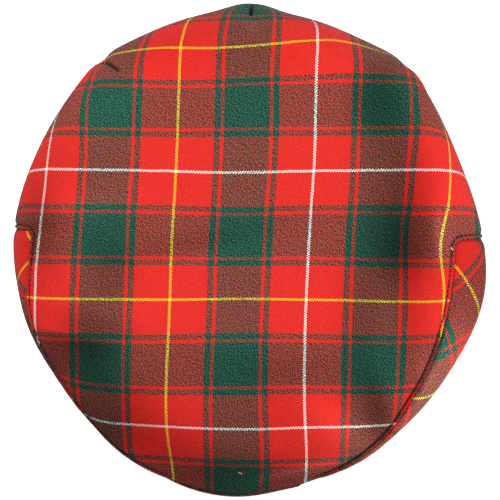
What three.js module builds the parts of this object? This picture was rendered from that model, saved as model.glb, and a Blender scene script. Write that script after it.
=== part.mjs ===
// A soft flat cap: one cloth top that is darted down into the back of the head opening,
// a cloth panel on each side and a stiff peak under the front edge.
// Millimetres, +Z up. The peak points along -Y and the cap rests on the plane z = 0.
import * as THREE from "three";

// Driving dimensions
const CLOTH = 2; // wall of cloth and its facing
const SEAM_GAP = 0.4; // space left between two neighbouring pieces
const HEAD_LENGTH = 194; // head opening, front to back
const HEAD_WIDTH = 176; // head opening, side to side
const HEAD_SHIFT = 9; // how far the opening's centre lies behind the cap's
const HEM = 9; // cloth turned in flat round the opening
const TOP_HEIGHT = 68; // middle of the top above the table
const TOP_SLOPE = 0.27; // rise of the top for each millimetre towards the back
const ROLL = 14; // reach of the curve that turns the top down at its edge

// Turns are degrees round the cap from the back, positive on the wearer's left.
const PANEL_BACK = 85; // where a side panel begins
const PANEL_TIP = 166; // where it ends, beside the middle of the peak
const DART_TOP = 1.1; // the stage of the section at which a dart fades in
const DART_FULL = 1.6; // and the stage from which it is full
const DART_FADE = 2.4; // the stage at which it begins to fade out
const DART_END = 3; // and the stage at which it is gone

// How far along its stretch each handle of the section's curves lies
const FLAT_SHARE = 0.6; // the top stays flat over this part of its radius
const SHOULDER_SHARE = 0.45; // between the seam and the fullest ring
const TUCK_SHARE = 0.55; // between the fullest ring and the bottom

// The peak
const PEAK_THICKNESS = 3;
const PEAK_CLEARANCE = 0.6; // its corners above the table
const PEAK_ARCH = 15; // rise of its middle above its corners
const PEAK_HALF_SPAN = 92; // from its middle to where the arch ends
const PEAK_CORNER = 112.5; // the turn at which it starts
const PEAK_SHOW = 1.2; // how far it shows in front of the crown
const PEAK_TUCK = 2; // how far it is tucked in at the sides
const PEAK_CORNER_WIDTH = 5;
const PEAK_FULL = 140; // the turn from which its edge follows the crown's
const PEAK_SHOW_FROM = 145; // the turn at which it begins to come out in front
const PEAK_SHOW_FULL = 170; // and the turn from which it shows in full
const LIP_INSET = 4; // the crown's edge lies this far inside the peak's
const LIP_FULL = 130; // the turn from which the crown's edge lies wholly on the peak
const LIP_RISE = 9; // the edge starts to rise so many degrees before the peak's corner
const LIP_RISEN = 1; // and has risen so many degrees before it

// One row for each section through the crown.
// seamR, seamDrop: edge of the top panel, as a radius and a drop below the top's plane
// dip: slope of the cloth at that edge, in degrees below level
// wideR, wideZ: the fullest ring below that edge
const SECTIONS = [
  { turn: 0, seamR: 120, seamDrop: 6, dip: 44, wideR: 132, wideZ: 62 },
  { turn: 38, seamR: 119, seamDrop: 6, dip: 44, wideR: 130, wideZ: 60 },
  { turn: 65, seamR: 116.5, seamDrop: 7, dip: 42, wideR: 126.5, wideZ: 51 },
  { turn: 90, seamR: 115.5, seamDrop: 8, dip: 40, wideR: 128, wideZ: 40 },
  { turn: 105, seamR: 117, seamDrop: 8, dip: 42, wideR: 127.5, wideZ: 33 },
  { turn: 120, seamR: 119.5, seamDrop: 7, dip: 44, wideR: 127, wideZ: 27 },
  { turn: 136, seamR: 124, seamDrop: 7, dip: 46, wideR: 128, wideZ: 22 },
  { turn: 150, seamR: 128.5, seamDrop: 6.5, dip: 48, wideR: 130.3, wideZ: 20 },
  { turn: 165, seamR: 131, seamDrop: 6.5, dip: 52, wideR: 132.2, wideZ: 21 },
  { turn: 180, seamR: 133, seamDrop: 7, dip: 55, wideR: 134.3, wideZ: 21.5 },
];

// Soft cloth lies a little unevenly: round each turn, the seam and the fullest ring are
// pushed out by so much, or in where it is negative, and the edge dips by so many degrees more.
// All of it fades over the spread.
const UNEVEN = [
  { turn: -165, spread: 28, seam: 0.5, wide: 2.8, dip: 0 },
  { turn: -150, spread: 24, seam: 3.2, wide: 0, dip: 0 },
  { turn: -126, spread: 22, seam: 0.5, wide: -1.4, dip: 28 },
  { turn: -110, spread: 16, seam: 6, wide: 0, dip: 0 },
  { turn: -38, spread: 34, seam: 0, wide: -1.2, dip: 0 },
  { turn: 6, spread: 5, seam: 0, wide: -1, dip: 0 },
  { turn: 41, spread: 13, seam: 0, wide: 2.2, dip: 0 },
  { turn: 41.5, spread: 8.5, seam: 10, wide: -0.8, dip: 0 },
  { turn: 66, spread: 16, seam: 0, wide: -1.2, dip: 0 },
  { turn: 100, spread: 12, seam: 0, wide: 2.2, dip: 0 },
  { turn: 104, spread: 26, seam: -3.6, wide: 0, dip: 0 },
  { turn: 130, spread: 8, seam: -1.2, wide: 0, dip: 0 },
  { turn: 166, spread: 22, seam: -0.5, wide: -3, dip: 0 },
];

// The darts: a groove with the cloth standing out as a corner on both sides of it.
const DARTS = [
  { turn: -38.2, groove: 1.6, grooveTurn: 2.2, corner: 2.2, cornerTurn: 8 },
  { turn: 0, groove: 0.4, grooveTurn: 2.2, corner: 4, cornerTurn: 7 },
  { turn: 38, groove: 0.7, grooveTurn: 2.2, corner: 2.6, cornerTurn: 8 },
];

// Dents and soft bumps of the top: a place, the direction of the long side, two half-lengths and a depth.
const DENTS = [
  { x: -82, y: -60, along: 50, long: 26, wide: 20, depth: 3.6 },
  { x: -76, y: -92, along: 42, long: 26, wide: 22, depth: 3.8 },
  { x: -42, y: -116, along: -20, long: 45, wide: 18, depth: 4.4 },
  { x: 6, y: -124, along: 5, long: 40, wide: 14, depth: 3.2 },
  { x: 10, y: -92, along: 0, long: 70, wide: 24, depth: 1.4 },
  { x: 14, y: -64, along: 0, long: 50, wide: 12, depth: 1.4 },
  { x: 84, y: 42, along: 95, long: 42, wide: 17, depth: 3.4 },
  { x: 68, y: 86, along: 90, long: 18, wide: 13, depth: 3.4 },
  { x: 82, y: 4, along: 95, long: 22, wide: 14, depth: 4.4 },
  { x: 62, y: -34, along: 90, long: 50, wide: 12, depth: 1.8 },
  { x: 55, y: -96, along: 141, long: 26, wide: 12, depth: -2.4 },
  { x: 0, y: 112, along: 0, long: 85, wide: 16, depth: 1.2 },
  { x: -74, y: -10, along: 95, long: 20, wide: 12, depth: 1.4 },
  { x: -112, y: 8, along: 95, long: 24, wide: 9, depth: 2 },
];

// Mesh density
const COLUMN_STEP = 5; // degrees
const DART_OFFSETS = [-6, -3, -1.5, 0, 1.5, 3, 6]; // columns beside a dart, in degrees
const TOP_ROWS = [0.2, 0.4, 0.58, 0.72, 0.82, 0.89, 0.95, 1];
const LOWER_ROWS = [1.25, 1.5, 1.75, 2, 2.25, 2.5, 2.75, 3, 4];
const PEAK_ROWS = 6;
const COLUMN_CLEAR = 0.45; // a plain column keeps this share of a step from a marked one
const MEAN_RADIUS = 120; // turns half a seam's gap into degrees

const RAD = Math.PI / 180;
const { lerp, smoothstep } = THREE.MathUtils;
const bell = (distance, width) => Math.exp(-((distance / width) ** 2));

// Smooth values between the rows of the section table, level at the back and the front.
const COLUMNS = ["seamR", "seamDrop", "dip", "wideR", "wideZ"];
const sectionCurve = new THREE.CubicInterpolant(
  SECTIONS.map((row) => row.turn),
  SECTIONS.flatMap((row) => COLUMNS.map((name) => row[name])),
  COLUMNS.length,
);
sectionCurve.settings = {
  endingStart: THREE.ZeroSlopeEnding,
  endingEnd: THREE.ZeroSlopeEnding,
};

function section(turn) {
  const values = sectionCurve.evaluate(Math.abs(turn));
  const row = Object.fromEntries(COLUMNS.map((name, i) => [name, values[i]]));
  for (const { turn: middle, spread, seam, wide, dip } of UNEVEN) {
    const share = bell(THREE.MathUtils.euclideanModulo(turn - middle + 180, 360) - 180, spread);
    row.seamR += seam * share;
    row.wideR += wide * share;
    row.dip += dip * share;
  }
  return row;
}

// Radius of the head opening, an ellipse, seen from the cap's centre.
function openingRadius(turn) {
  const across = HEAD_WIDTH / 2;
  const along = HEAD_LENGTH / 2;
  const sine = Math.sin(turn * RAD);
  const cosine = Math.cos(turn * RAD);
  const a = (sine / across) ** 2 + (cosine / along) ** 2;
  const b = (-2 * cosine * HEAD_SHIFT) / along ** 2;
  const c = (HEAD_SHIFT / along) ** 2 - 1;
  return (-b + Math.sqrt(b * b - 4 * a * c)) / (2 * a);
}

// The peak's upper face, arched from side to side, and its outer edge.
function peakTop(x) {
  const share = Math.min(1, Math.abs(x) / PEAK_HALF_SPAN);
  return PEAK_CLEARANCE + PEAK_THICKNESS + PEAK_ARCH * Math.cos((share * Math.PI) / 2);
}

const SHOW_TRAVEL = PEAK_TUCK + PEAK_SHOW;

function peakRadius(turn) {
  const t = Math.abs(turn);
  const full = section(turn).wideR - PEAK_TUCK + SHOW_TRAVEL * smoothstep(t, PEAK_SHOW_FROM, PEAK_SHOW_FULL);
  return lerp(openingRadius(t) + PEAK_CORNER_WIDTH, full, smoothstep(t, PEAK_CORNER, PEAK_FULL));
}

// Where the crown's cloth ends: turned in round the opening, or laid on the peak.
function edgeRadius(turn) {
  const t = Math.abs(turn);
  return lerp(openingRadius(t) + HEM, peakRadius(turn) - LIP_INSET, smoothstep(t, PEAK_CORNER, LIP_FULL));
}

function edgeHeight(turn, radius) {
  const onPeak = smoothstep(Math.abs(turn), PEAK_CORNER - LIP_RISE, PEAK_CORNER - LIP_RISEN);
  return onPeak * (peakTop(radius * Math.sin(turn * RAD)) + SEAM_GAP);
}

// The section at one turn: stages 0 to 1 run from the middle of the top to its edge,
// 1 to 2 down to the fullest ring, 2 to 3 in to the bottom and 3 to 4 along the hem.
function profile(turn) {
  const row = section(turn);
  const slope = TOP_SLOPE * Math.cos(turn * RAD);
  const lobe = DARTS.reduce((sum, d) => sum + d.corner * bell(turn - d.turn, d.cornerTurn), 0);
  const middle = new THREE.Vector2(0, TOP_HEIGHT);
  const seam = new THREE.Vector2(row.seamR, TOP_HEIGHT + slope * row.seamR - row.seamDrop);
  const wide = new THREE.Vector2(row.wideR + lobe, row.wideZ);
  const outer = edgeRadius(turn);
  const bottom = new THREE.Vector2(outer, edgeHeight(turn, outer));
  const end = new THREE.Vector2(outer - HEM, edgeHeight(turn, outer - HEM));
  const dip = new THREE.Vector2(Math.cos(row.dip * RAD), -Math.sin(row.dip * RAD));
  const shoulder = Math.min(ROLL, seam.distanceTo(wide) * SHOULDER_SHARE);
  const level = FLAT_SHARE * row.seamR;
  const flat = new THREE.Vector2(level, TOP_HEIGHT + slope * level);
  return [
    new THREE.CubicBezierCurve(middle, flat, seam.clone().addScaledVector(dip, -ROLL), seam),
    new THREE.CubicBezierCurve(
      seam,
      seam.clone().addScaledVector(dip, shoulder),
      new THREE.Vector2(wide.x, lerp(wide.y, seam.y, SHOULDER_SHARE)),
      wide,
    ),
    new THREE.CubicBezierCurve(
      wide,
      new THREE.Vector2(wide.x, lerp(wide.y, bottom.y, TUCK_SHARE)),
      new THREE.Vector2(lerp(bottom.x, wide.x, TUCK_SHARE), bottom.y),
      bottom,
    ),
    new THREE.LineCurve(bottom, end),
  ];
}

// A point of the crown's outer face.
function crownPoint(turn, stage) {
  const curves = profile(turn);
  const piece = Math.min(curves.length - 1, Math.floor(stage));
  const { x: radius, y: height } = curves[piece].getPoint(stage - piece);
  const onBody = 1 - smoothstep(stage, DART_FADE, DART_END);
  const groove = DARTS.reduce((sum, d) => sum + d.groove * bell(turn - d.turn, d.grooveTurn), 0);
  const inset = groove * smoothstep(stage, DART_TOP, DART_FULL) * onBody;
  const x = (radius - inset) * Math.sin(turn * RAD);
  const y = (radius - inset) * Math.cos(turn * RAD);
  const dent = DENTS.reduce((sum, d) => {
    const [dx, dy] = [x - d.x, y - d.y];
    const [c, s] = [Math.cos(d.along * RAD), Math.sin(d.along * RAD)];
    return sum + d.depth * bell(dx * c + dy * s, d.long) * bell(dy * c - dx * s, d.wide);
  }, 0);
  return new THREE.Vector3(x, y, height - dent * (1 - smoothstep(stage, 1, 2)));
}

function crownNormal(turn, stage) {
  const [dTurn, dStage] = [0.2, 0.01];
  const at = Math.max(stage, 0.02);
  const [low, high] = [Math.max(at - dStage, 0), Math.min(at + dStage, 4)];
  const down = crownPoint(turn, high).sub(crownPoint(turn, low));
  const round = crownPoint(turn + dTurn, at).sub(crownPoint(turn - dTurn, at));
  return down.cross(round).negate().normalize();
}

// A closed wall from an open sheet of points: the sheet, its offset copy and the strip
// that joins their edges.
function wall(points, offsets, triangles) {
  const count = points.length;
  const inner = points.map((p, i) => p.clone().add(offsets[i]));
  const faces = [...triangles, ...triangles.map(([a, b, c]) => [a + count, c + count, b + count])];
  const used = new Set(triangles.flatMap(([a, b, c]) => [`${a},${b}`, `${b},${c}`, `${c},${a}`]));
  for (const edge of used) {
    const [a, b] = edge.split(",").map(Number);
    if (!used.has(`${b},${a}`)) faces.push([b, a, a + count], [b, a + count, b + count]);
  }
  const geometry = new THREE.BufferGeometry().setFromPoints([...points, ...inner]);
  geometry.setIndex(faces.flat());
  geometry.computeVertexNormals();
  return geometry;
}

// The turns of all columns, so that every seam and dart has a column of its own.
function columnTurns() {
  const turns = [-PANEL_TIP, -PANEL_BACK, PANEL_BACK, PANEL_TIP];
  turns.push(...DARTS.flatMap((d) => DART_OFFSETS.map((offset) => d.turn + offset)));
  const marked = [...turns];
  for (let turn = -180; turn < 180; turn += COLUMN_STEP) {
    if (marked.every((m) => Math.abs(m - turn) > COLUMN_STEP * COLUMN_CLEAR)) turns.push(turn);
  }
  return turns.sort((a, b) => a - b);
}

// One cloth panel of the crown. owns(turn, stage) says whether a cell with that middle belongs to it,
// and its edges stand back from the seams by half the gap.
function clothPanel(owns) {
  const turns = columnTurns();
  const stages = [0, ...TOP_ROWS, ...LOWER_ROWS];
  const points = [];
  const offsets = [];
  const triangles = [];
  const numbers = new Map();
  const inPanel = (column, row) => {
    const next = column + 1 < turns.length ? turns[column + 1] : 180;
    const turn = (turns[(column + turns.length) % turns.length] + next) / 2;
    return row >= 0 && row + 1 < stages.length && owns(turn, (stages[row] + stages[row + 1]) / 2);
  };
  const corner = (column, row) => {
    const around = column % turns.length;
    const key = row === 0 ? "middle" : `${around},${row}`;
    if (!numbers.has(key)) {
      const before = (around + turns.length - 1) % turns.length;
      const side = (c) => Number(inPanel(c, row - 1)) + Number(inPanel(c, row));
      const stepTurn = Math.sign(side(around) - side(before));
      const rowShare = (r) => Number(inPanel(before, r)) + Number(inPanel(around, r));
      const stepStage = row + 1 < stages.length ? Math.sign(rowShare(row) - rowShare(row - 1)) : 0;
      const reach = profile(turns[around]);
      const stage = stages[row];
      const length = reach[Math.min(3, Math.floor(stage))].getLength();
      const shiftedStage = stage + (row === 0 ? 0 : (stepStage * SEAM_GAP) / 2 / length);
      const shiftedTurn = turns[around] + (row === 0 ? 0 : (stepTurn * SEAM_GAP) / 2 / (MEAN_RADIUS * RAD));
      numbers.set(key, points.length);
      points.push(crownPoint(shiftedTurn, shiftedStage));
      offsets.push(crownNormal(shiftedTurn, shiftedStage).multiplyScalar(-CLOTH));
    }
    return numbers.get(key);
  };
  for (let column = 0; column < turns.length; column++) {
    for (let row = 0; row + 1 < stages.length; row++) {
      if (!inPanel(column, row)) continue;
      const [a, b] = [corner(column, row), corner(column + 1, row)];
      const [c, d] = [corner(column + 1, row + 1), corner(column, row + 1)];
      triangles.push([a, c, d]);
      if (row > 0) triangles.push([a, b, c]);
    }
  }
  return wall(points, offsets, triangles);
}

// The stiff peak, a crescent between the head opening and the crown's front edge.
function peak() {
  const points = [];
  const triangles = [];
  const span = 360 - 2 * PEAK_CORNER;
  const columns = Math.round(span / COLUMN_STEP);
  for (let column = 0; column <= columns; column++) {
    const turn = PEAK_CORNER + (span * column) / columns;
    const signed = turn > 180 ? turn - 360 : turn;
    const inner = openingRadius(signed);
    for (let row = 0; row <= PEAK_ROWS; row++) {
      const radius = lerp(inner, peakRadius(signed), row / PEAK_ROWS);
      const x = radius * Math.sin(turn * RAD);
      points.push(new THREE.Vector3(x, radius * Math.cos(turn * RAD), peakTop(x)));
    }
  }
  const stride = PEAK_ROWS + 1;
  for (let column = 0; column < columns; column++) {
    for (let row = 0; row < PEAK_ROWS; row++) {
      const a = column * stride + row;
      triangles.push([a, a + stride, a + stride + 1], [a, a + stride + 1, a + 1]);
    }
  }
  const down = new THREE.Vector3(0, 0, -PEAK_THICKNESS);
  return wall(points, points.map(() => down), triangles);
}

// Assembly
const tartan = new THREE.MeshStandardMaterial({ color: 0xb03a30, roughness: 0.9, metalness: 0 });
const sideTartan = new THREE.MeshStandardMaterial({ color: 0xa5342c, roughness: 0.9, metalness: 0 });
const peakTartan = new THREE.MeshStandardMaterial({ color: 0x9a3029, roughness: 0.9, metalness: 0 });

const inSidePanel = (turn, stage) =>
  stage > 1 && Math.abs(turn) > PANEL_BACK && Math.abs(turn) < PANEL_TIP;

const cap = new THREE.Group();
function add(name, geometry, material) {
  const mesh = new THREE.Mesh(geometry, material);
  mesh.name = name;
  cap.add(mesh);
}

add("crown_top", clothPanel((turn, stage) => !inSidePanel(turn, stage)), tartan);
add("side_panel_left", clothPanel((turn, stage) => inSidePanel(turn, stage) && turn > 0), sideTartan);
add("side_panel_right", clothPanel((turn, stage) => inSidePanel(turn, stage) && turn < 0), sideTartan);
add("peak", peak(), peakTartan);

export default cap;
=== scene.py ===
"""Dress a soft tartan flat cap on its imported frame: cloth crown, side panels, stiff peak and threads."""

import logging
import math
from collections.abc import Callable, Sequence
from dataclasses import dataclass, field
from enum import Enum

import bmesh
import bpy
import numpy as np
from mathutils import Matrix, Vector


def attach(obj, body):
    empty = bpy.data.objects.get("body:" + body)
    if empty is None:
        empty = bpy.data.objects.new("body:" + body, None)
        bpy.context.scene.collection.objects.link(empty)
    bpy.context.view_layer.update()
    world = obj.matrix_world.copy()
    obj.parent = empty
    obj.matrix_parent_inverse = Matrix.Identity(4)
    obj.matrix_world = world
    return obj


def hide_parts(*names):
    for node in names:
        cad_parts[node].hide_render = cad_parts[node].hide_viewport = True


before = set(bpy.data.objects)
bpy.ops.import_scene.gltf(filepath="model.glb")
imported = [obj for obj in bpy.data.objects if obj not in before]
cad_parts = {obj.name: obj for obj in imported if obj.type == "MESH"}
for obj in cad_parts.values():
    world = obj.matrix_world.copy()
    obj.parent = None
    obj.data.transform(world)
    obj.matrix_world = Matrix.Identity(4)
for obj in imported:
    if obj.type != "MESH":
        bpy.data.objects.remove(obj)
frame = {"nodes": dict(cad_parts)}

LOG = logging.getLogger("flat_cap")
MM = 0.001
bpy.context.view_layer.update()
Array = np.ndarray
Range = tuple[float, float]
Feed = bpy.types.NodeSocket | float | Sequence[float]

# The stages of a section through the crown, which starts at 0 in the middle of the top.
SEAM = 1.0
WIDEST = 2.0
BOTTOM = 3.0
HEM_END = 4.0

# How many steps measure a length along a section: for the flat cloth, the seams and a search.
FLAT_STEPS = 40
SEAM_STEPS = 24
SEARCH_STEPS = 16

# How many points find where graded rows and columns lie.
GRADE_POINTS = 4001

# The facets of one length of thread.
STRAND_SIDES = 10
STRAND_RINGS = 8


def bell(distance: Array, width: float) -> Array:
    """Return a soft bump of height 1 that fades over the width."""
    return np.exp(-((distance / width) ** 2))


def ramp(value: Array, low: float, high: float) -> Array:
    """Return a smooth step from 0 at low to 1 at high."""
    share = np.clip((value - low) / (high - low), 0.0, 1.0)
    return share * share * (3.0 - 2.0 * share)


def fade(value: Array, low: float, high: float) -> Array:
    """Return a smooth step from 1 at low to 0 at high."""
    return 1 - ramp(value, low, high)


def blend(first: Array, second: Array, share: Array) -> Array:
    """Return first where the share is 0 and second where it is 1."""
    return first + (second - first) * share


def wrap(turn: Array) -> Array:
    """Return a turn in degrees between -180 and 180."""
    return (np.asarray(turn, float) + 180.0) % 360.0 - 180.0


def around(radius: Array, turn: Array) -> tuple[Array, Array]:
    """Return x and y at this radius and turn from the cap's middle."""
    return radius * np.sin(np.radians(turn)), radius * np.cos(np.radians(turn))


def graded(low: float, high: float, step: float, fine: Sequence[tuple[float, float, float]]) -> Array:
    """Return values from low to high that lie closer together near the fine places.

    Args:
        low: First value.
        high: Last value.
        step: Usual distance between values.
        fine: Place, distance between values there, and the width over which it holds.

    Returns:
        The values in order.
    """
    probe = np.linspace(low, high, GRADE_POINTS)
    steps = np.full_like(probe, step)
    for place, close, width in fine:
        steps = np.minimum(steps, blend(step, close, bell(probe - place, width)))
    count = np.concatenate(([0.0], np.cumsum(0.5 * (1 / steps[1:] + 1 / steps[:-1]) * np.diff(probe))))
    return np.interp(np.linspace(0, count[-1], max(2, round(count[-1]) + 1)), count, probe)


def read_all(items: bpy.types.bpy_prop_collection, name: str, wide: int = 1, kind: type = float) -> Array:
    """Return one property of every item of a mesh.

    Args:
        items: The vertices, loops, faces or attribute values.
        name: Name of the property.
        wide: How many numbers it has.
        kind: The type of these numbers.

    Returns:
        One number for each item, or one row where the property has several.
    """
    values = np.empty(len(items) * wide, kind)
    items.foreach_get(name, values)
    return values.reshape(-1, wide) if wide > 1 else values


def new_piece(bm: bmesh.types.BMesh, name: str, material: bpy.types.Material) -> bpy.types.Object:
    """Make a smooth object of the scene from a built mesh.

    Args:
        bm: The built mesh, which is freed.
        name: Name of the object and of its mesh.
        material: Its material.

    Returns:
        The new object, at the origin.
    """
    for face in bm.faces:
        face.smooth = True
    mesh = bpy.data.meshes.new(name)
    bm.to_mesh(mesh)
    bm.free()
    mesh.materials.append(material)
    piece = bpy.data.objects.new(name, mesh)
    bpy.context.scene.collection.objects.link(piece)
    return piece


def add_strand(bm: bmesh.types.BMesh, low: Vector, high: Vector, reach: float, thick: float) -> None:
    """Add one length of thread to a mesh, as a stretched ball.

    Args:
        bm: The mesh to add to.
        low: Where the length starts, in millimetres.
        high: Where it ends.
        reach: How far it runs from its middle.
        thick: Its thickness.
    """
    turned = (high - low).to_track_quat("X", "Z").to_matrix().to_4x4()
    size = Matrix.Diagonal((reach * MM, thick / 2 * MM, thick / 2 * MM, 1))
    place = Matrix.Translation((low + high) / 2 * MM) @ turned @ size
    bmesh.ops.create_uvsphere(bm, u_segments=STRAND_SIDES, v_segments=STRAND_RINGS, radius=1.0, matrix=place)


class Side(Enum):
    """The wearer's side that a panel is on, with the sign of its turns."""

    LEFT = 1
    RIGHT = -1


@dataclass(frozen=True)
class Section:
    """One section through the crown: millimetres, and degrees round the cap from the back."""

    turn: float
    seam_radius: float
    seam_drop: float
    dip: float
    wide_radius: float
    wide_height: float


@dataclass(frozen=True)
class Uneven:
    """A place where the soft cloth is pushed out or in, fading over the spread."""

    turn: float
    spread: float
    seam: float
    wide: float
    dip: float


@dataclass(frozen=True)
class Dart:
    """A sewn dart at the back: a groove with a sharp line in it, and a corner that stands out beside it."""

    turn: float
    groove: float
    groove_turn: float
    corner: float
    corner_turn: float
    lean: float
    line_top: float
    line_end: float
    line_deep: float
    line_turn: float = 0.34
    line_start: float = 0.1
    line_fade: float = 0.25
    upright: float = 1.65

    def line(self, turn: Array, stage: Array) -> Array:
        """Return how far the sewn line draws the cloth in.

        Args:
            turn: Degrees round the cap from the back.
            stage: Place along the section.

        Returns:
            Millimetres.
        """
        place = self.turn + self.lean * np.clip(self.upright - stage, 0, 1)
        near = bell(wrap(turn - place), self.line_turn)
        begun = ramp(stage, self.line_top, self.line_top + self.line_start)
        return self.line_deep * near * begun * fade(stage, self.line_end, self.line_end + self.line_fade)


@dataclass(frozen=True)
class Dent:
    """A dent of the top, or a bump where the depth is negative, long in one direction."""

    x: float
    y: float
    along: float
    long: float
    wide: float
    depth: float

    def sink(self, x: Array, y: Array) -> Array:
        """Return how far the dent sinks the cloth.

        Args:
            x: Places seen from above, towards the wearer's left.
            y: The same towards the back.

        Returns:
            Millimetres at each place.
        """
        cosine, sine = math.cos(math.radians(self.along)), math.sin(math.radians(self.along))
        dx, dy = x - self.x, y - self.y
        ahead, aside = dx * cosine + dy * sine, dy * cosine - dx * sine
        return self.depth * bell(ahead, self.long) * bell(aside, self.wide)


@dataclass(frozen=True)
class Crease:
    """A soft crease of the top along a line, raised or sunk, with an optional step on its right-hand side."""

    start: Range
    end: Range
    width: float
    height: float
    step: float = 0.0
    reach: float = 30.0
    over: float = 0.12
    full: float = 0.3

    def lift(self, x: Array, y: Array) -> Array:
        """Return how far the crease raises the cloth.

        Args:
            x: Places seen from above, towards the wearer's left.
            y: The same towards the back.

        Returns:
            Millimetres at each place.
        """
        run = np.subtract(self.end, self.start)
        long = float(np.hypot(*run))
        ahead = run / long
        along = (x - self.start[0]) * ahead[0] + (y - self.start[1]) * ahead[1]
        aside = (x - self.start[0]) * ahead[1] - (y - self.start[1]) * ahead[0]
        taper = ramp(along, -self.over * long, self.full * long)
        taper = taper * fade(along, (1 - self.full) * long, (1 + self.over) * long)
        fall = ramp(aside, -self.width, self.width) * bell(np.maximum(aside, 0), self.reach)
        return taper * (self.height * bell(aside, self.width) + self.step * fall)


SECTIONS = (
    Section(0, 120, 6, 44, 132, 62),
    Section(38, 119, 6, 44, 130, 60),
    Section(65, 116.5, 7, 42, 126.5, 51),
    Section(90, 115.5, 8, 40, 128, 40),
    Section(105, 117, 8, 42, 127.5, 33),
    Section(120, 119.5, 7, 44, 127, 27),
    Section(136, 124, 7, 46, 128, 22),
    Section(150, 128.5, 6.5, 48, 130.3, 20),
    Section(165, 131, 6.5, 52, 132.2, 21),
    Section(180, 133, 7, 55, 134.3, 21.5),
)

UNEVEN = (
    Uneven(-165, 28, 0.5, 2.8, 0),
    Uneven(-150, 24, 3.2, 0, 0),
    Uneven(-126, 22, 0.5, -1.4, 28),
    Uneven(-110, 16, 6, 0, 0),
    Uneven(-38, 34, 0, -1.2, 0),
    Uneven(6, 5, 0, -1, 0),
    Uneven(41, 13, 0, 2.2, 0),
    Uneven(41.5, 8.5, 10, -0.8, 0),
    Uneven(66, 16, 0, -1.2, 0),
    Uneven(100, 12, 0, 2.2, 0),
    Uneven(104, 26, -3.6, 0, 0),
    Uneven(130, 8, -1.2, 0, 0),
    Uneven(166, 22, -0.5, -3, 0),
)

DARTS = (
    Dart(-38.2, 1.6, 2.2, 2.2, 8, 4.3, 0.96, 1.6, 2.6),
    Dart(0, 0.4, 2.2, 4, 7, 0.6, 1.34, 1.66, 3.0),
    Dart(38, 0.7, 2.2, 2.6, 8, -1.5, 1.3, 1.4, 1.0),
)

# The dents and creases below sink the top, and their depth is also painted into the cloth's colour as shade,
# painted lighter where they raise it.
DENTS = (
    Dent(-90, -55, 50, 26, 18, 3.2),
    Dent(-76, -92, 42, 26, 22, 3.8),
    Dent(-42, -116, -20, 45, 18, 4.4),
    Dent(6, -124, 5, 40, 14, 3.2),
    Dent(10, -92, 0, 70, 24, 1.4),
    Dent(14, -64, 0, 50, 12, 1.4),
    Dent(84, 42, 95, 42, 17, 3.4),
    Dent(68, 86, 90, 18, 13, 3.4),
    Dent(82, 4, 95, 22, 14, 5.4),
    Dent(62, -34, 90, 50, 12, 1.8),
    Dent(89, -40, 95, 22, 10, 2.2),
    Dent(105, 18, 95, 14, 7, -1.6),
    Dent(55, -96, 141, 26, 12, -2.4),
    Dent(72, -85, 105, 17, 7, 3.4),
    Dent(97, -60, 100, 16, 7, -1.6),
    Dent(0, 112, 0, 85, 16, 1.2),
    Dent(-112, 8, 95, 24, 9, 2),
    Dent(-74, -10, 95, 20, 12, 1.4),
    Dent(-80, 75, 20, 25, 16, -1),
    Dent(-85, 22, 10, 26, 10, -1),
    Dent(-72, -34, -6, 22, 8, -1),
    Dent(-24, 6, 14, 40, 6, 1.2),
)

CREASES = (
    Crease((-118, -45), (-66, -53), 3.5, 1.2, -2.6, 26),
    Crease((102.5, 27), (103.5, -4), 3.2, 1.2),
    Crease((-2, -128.5), (58, -111.5), 2.6, 1.9),
    Crease((-7, 128.5), (5, 120), 2.4, 1.1),
    Crease((-118, 8), (-92, 15), 5.0, -1.0),
)


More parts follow.
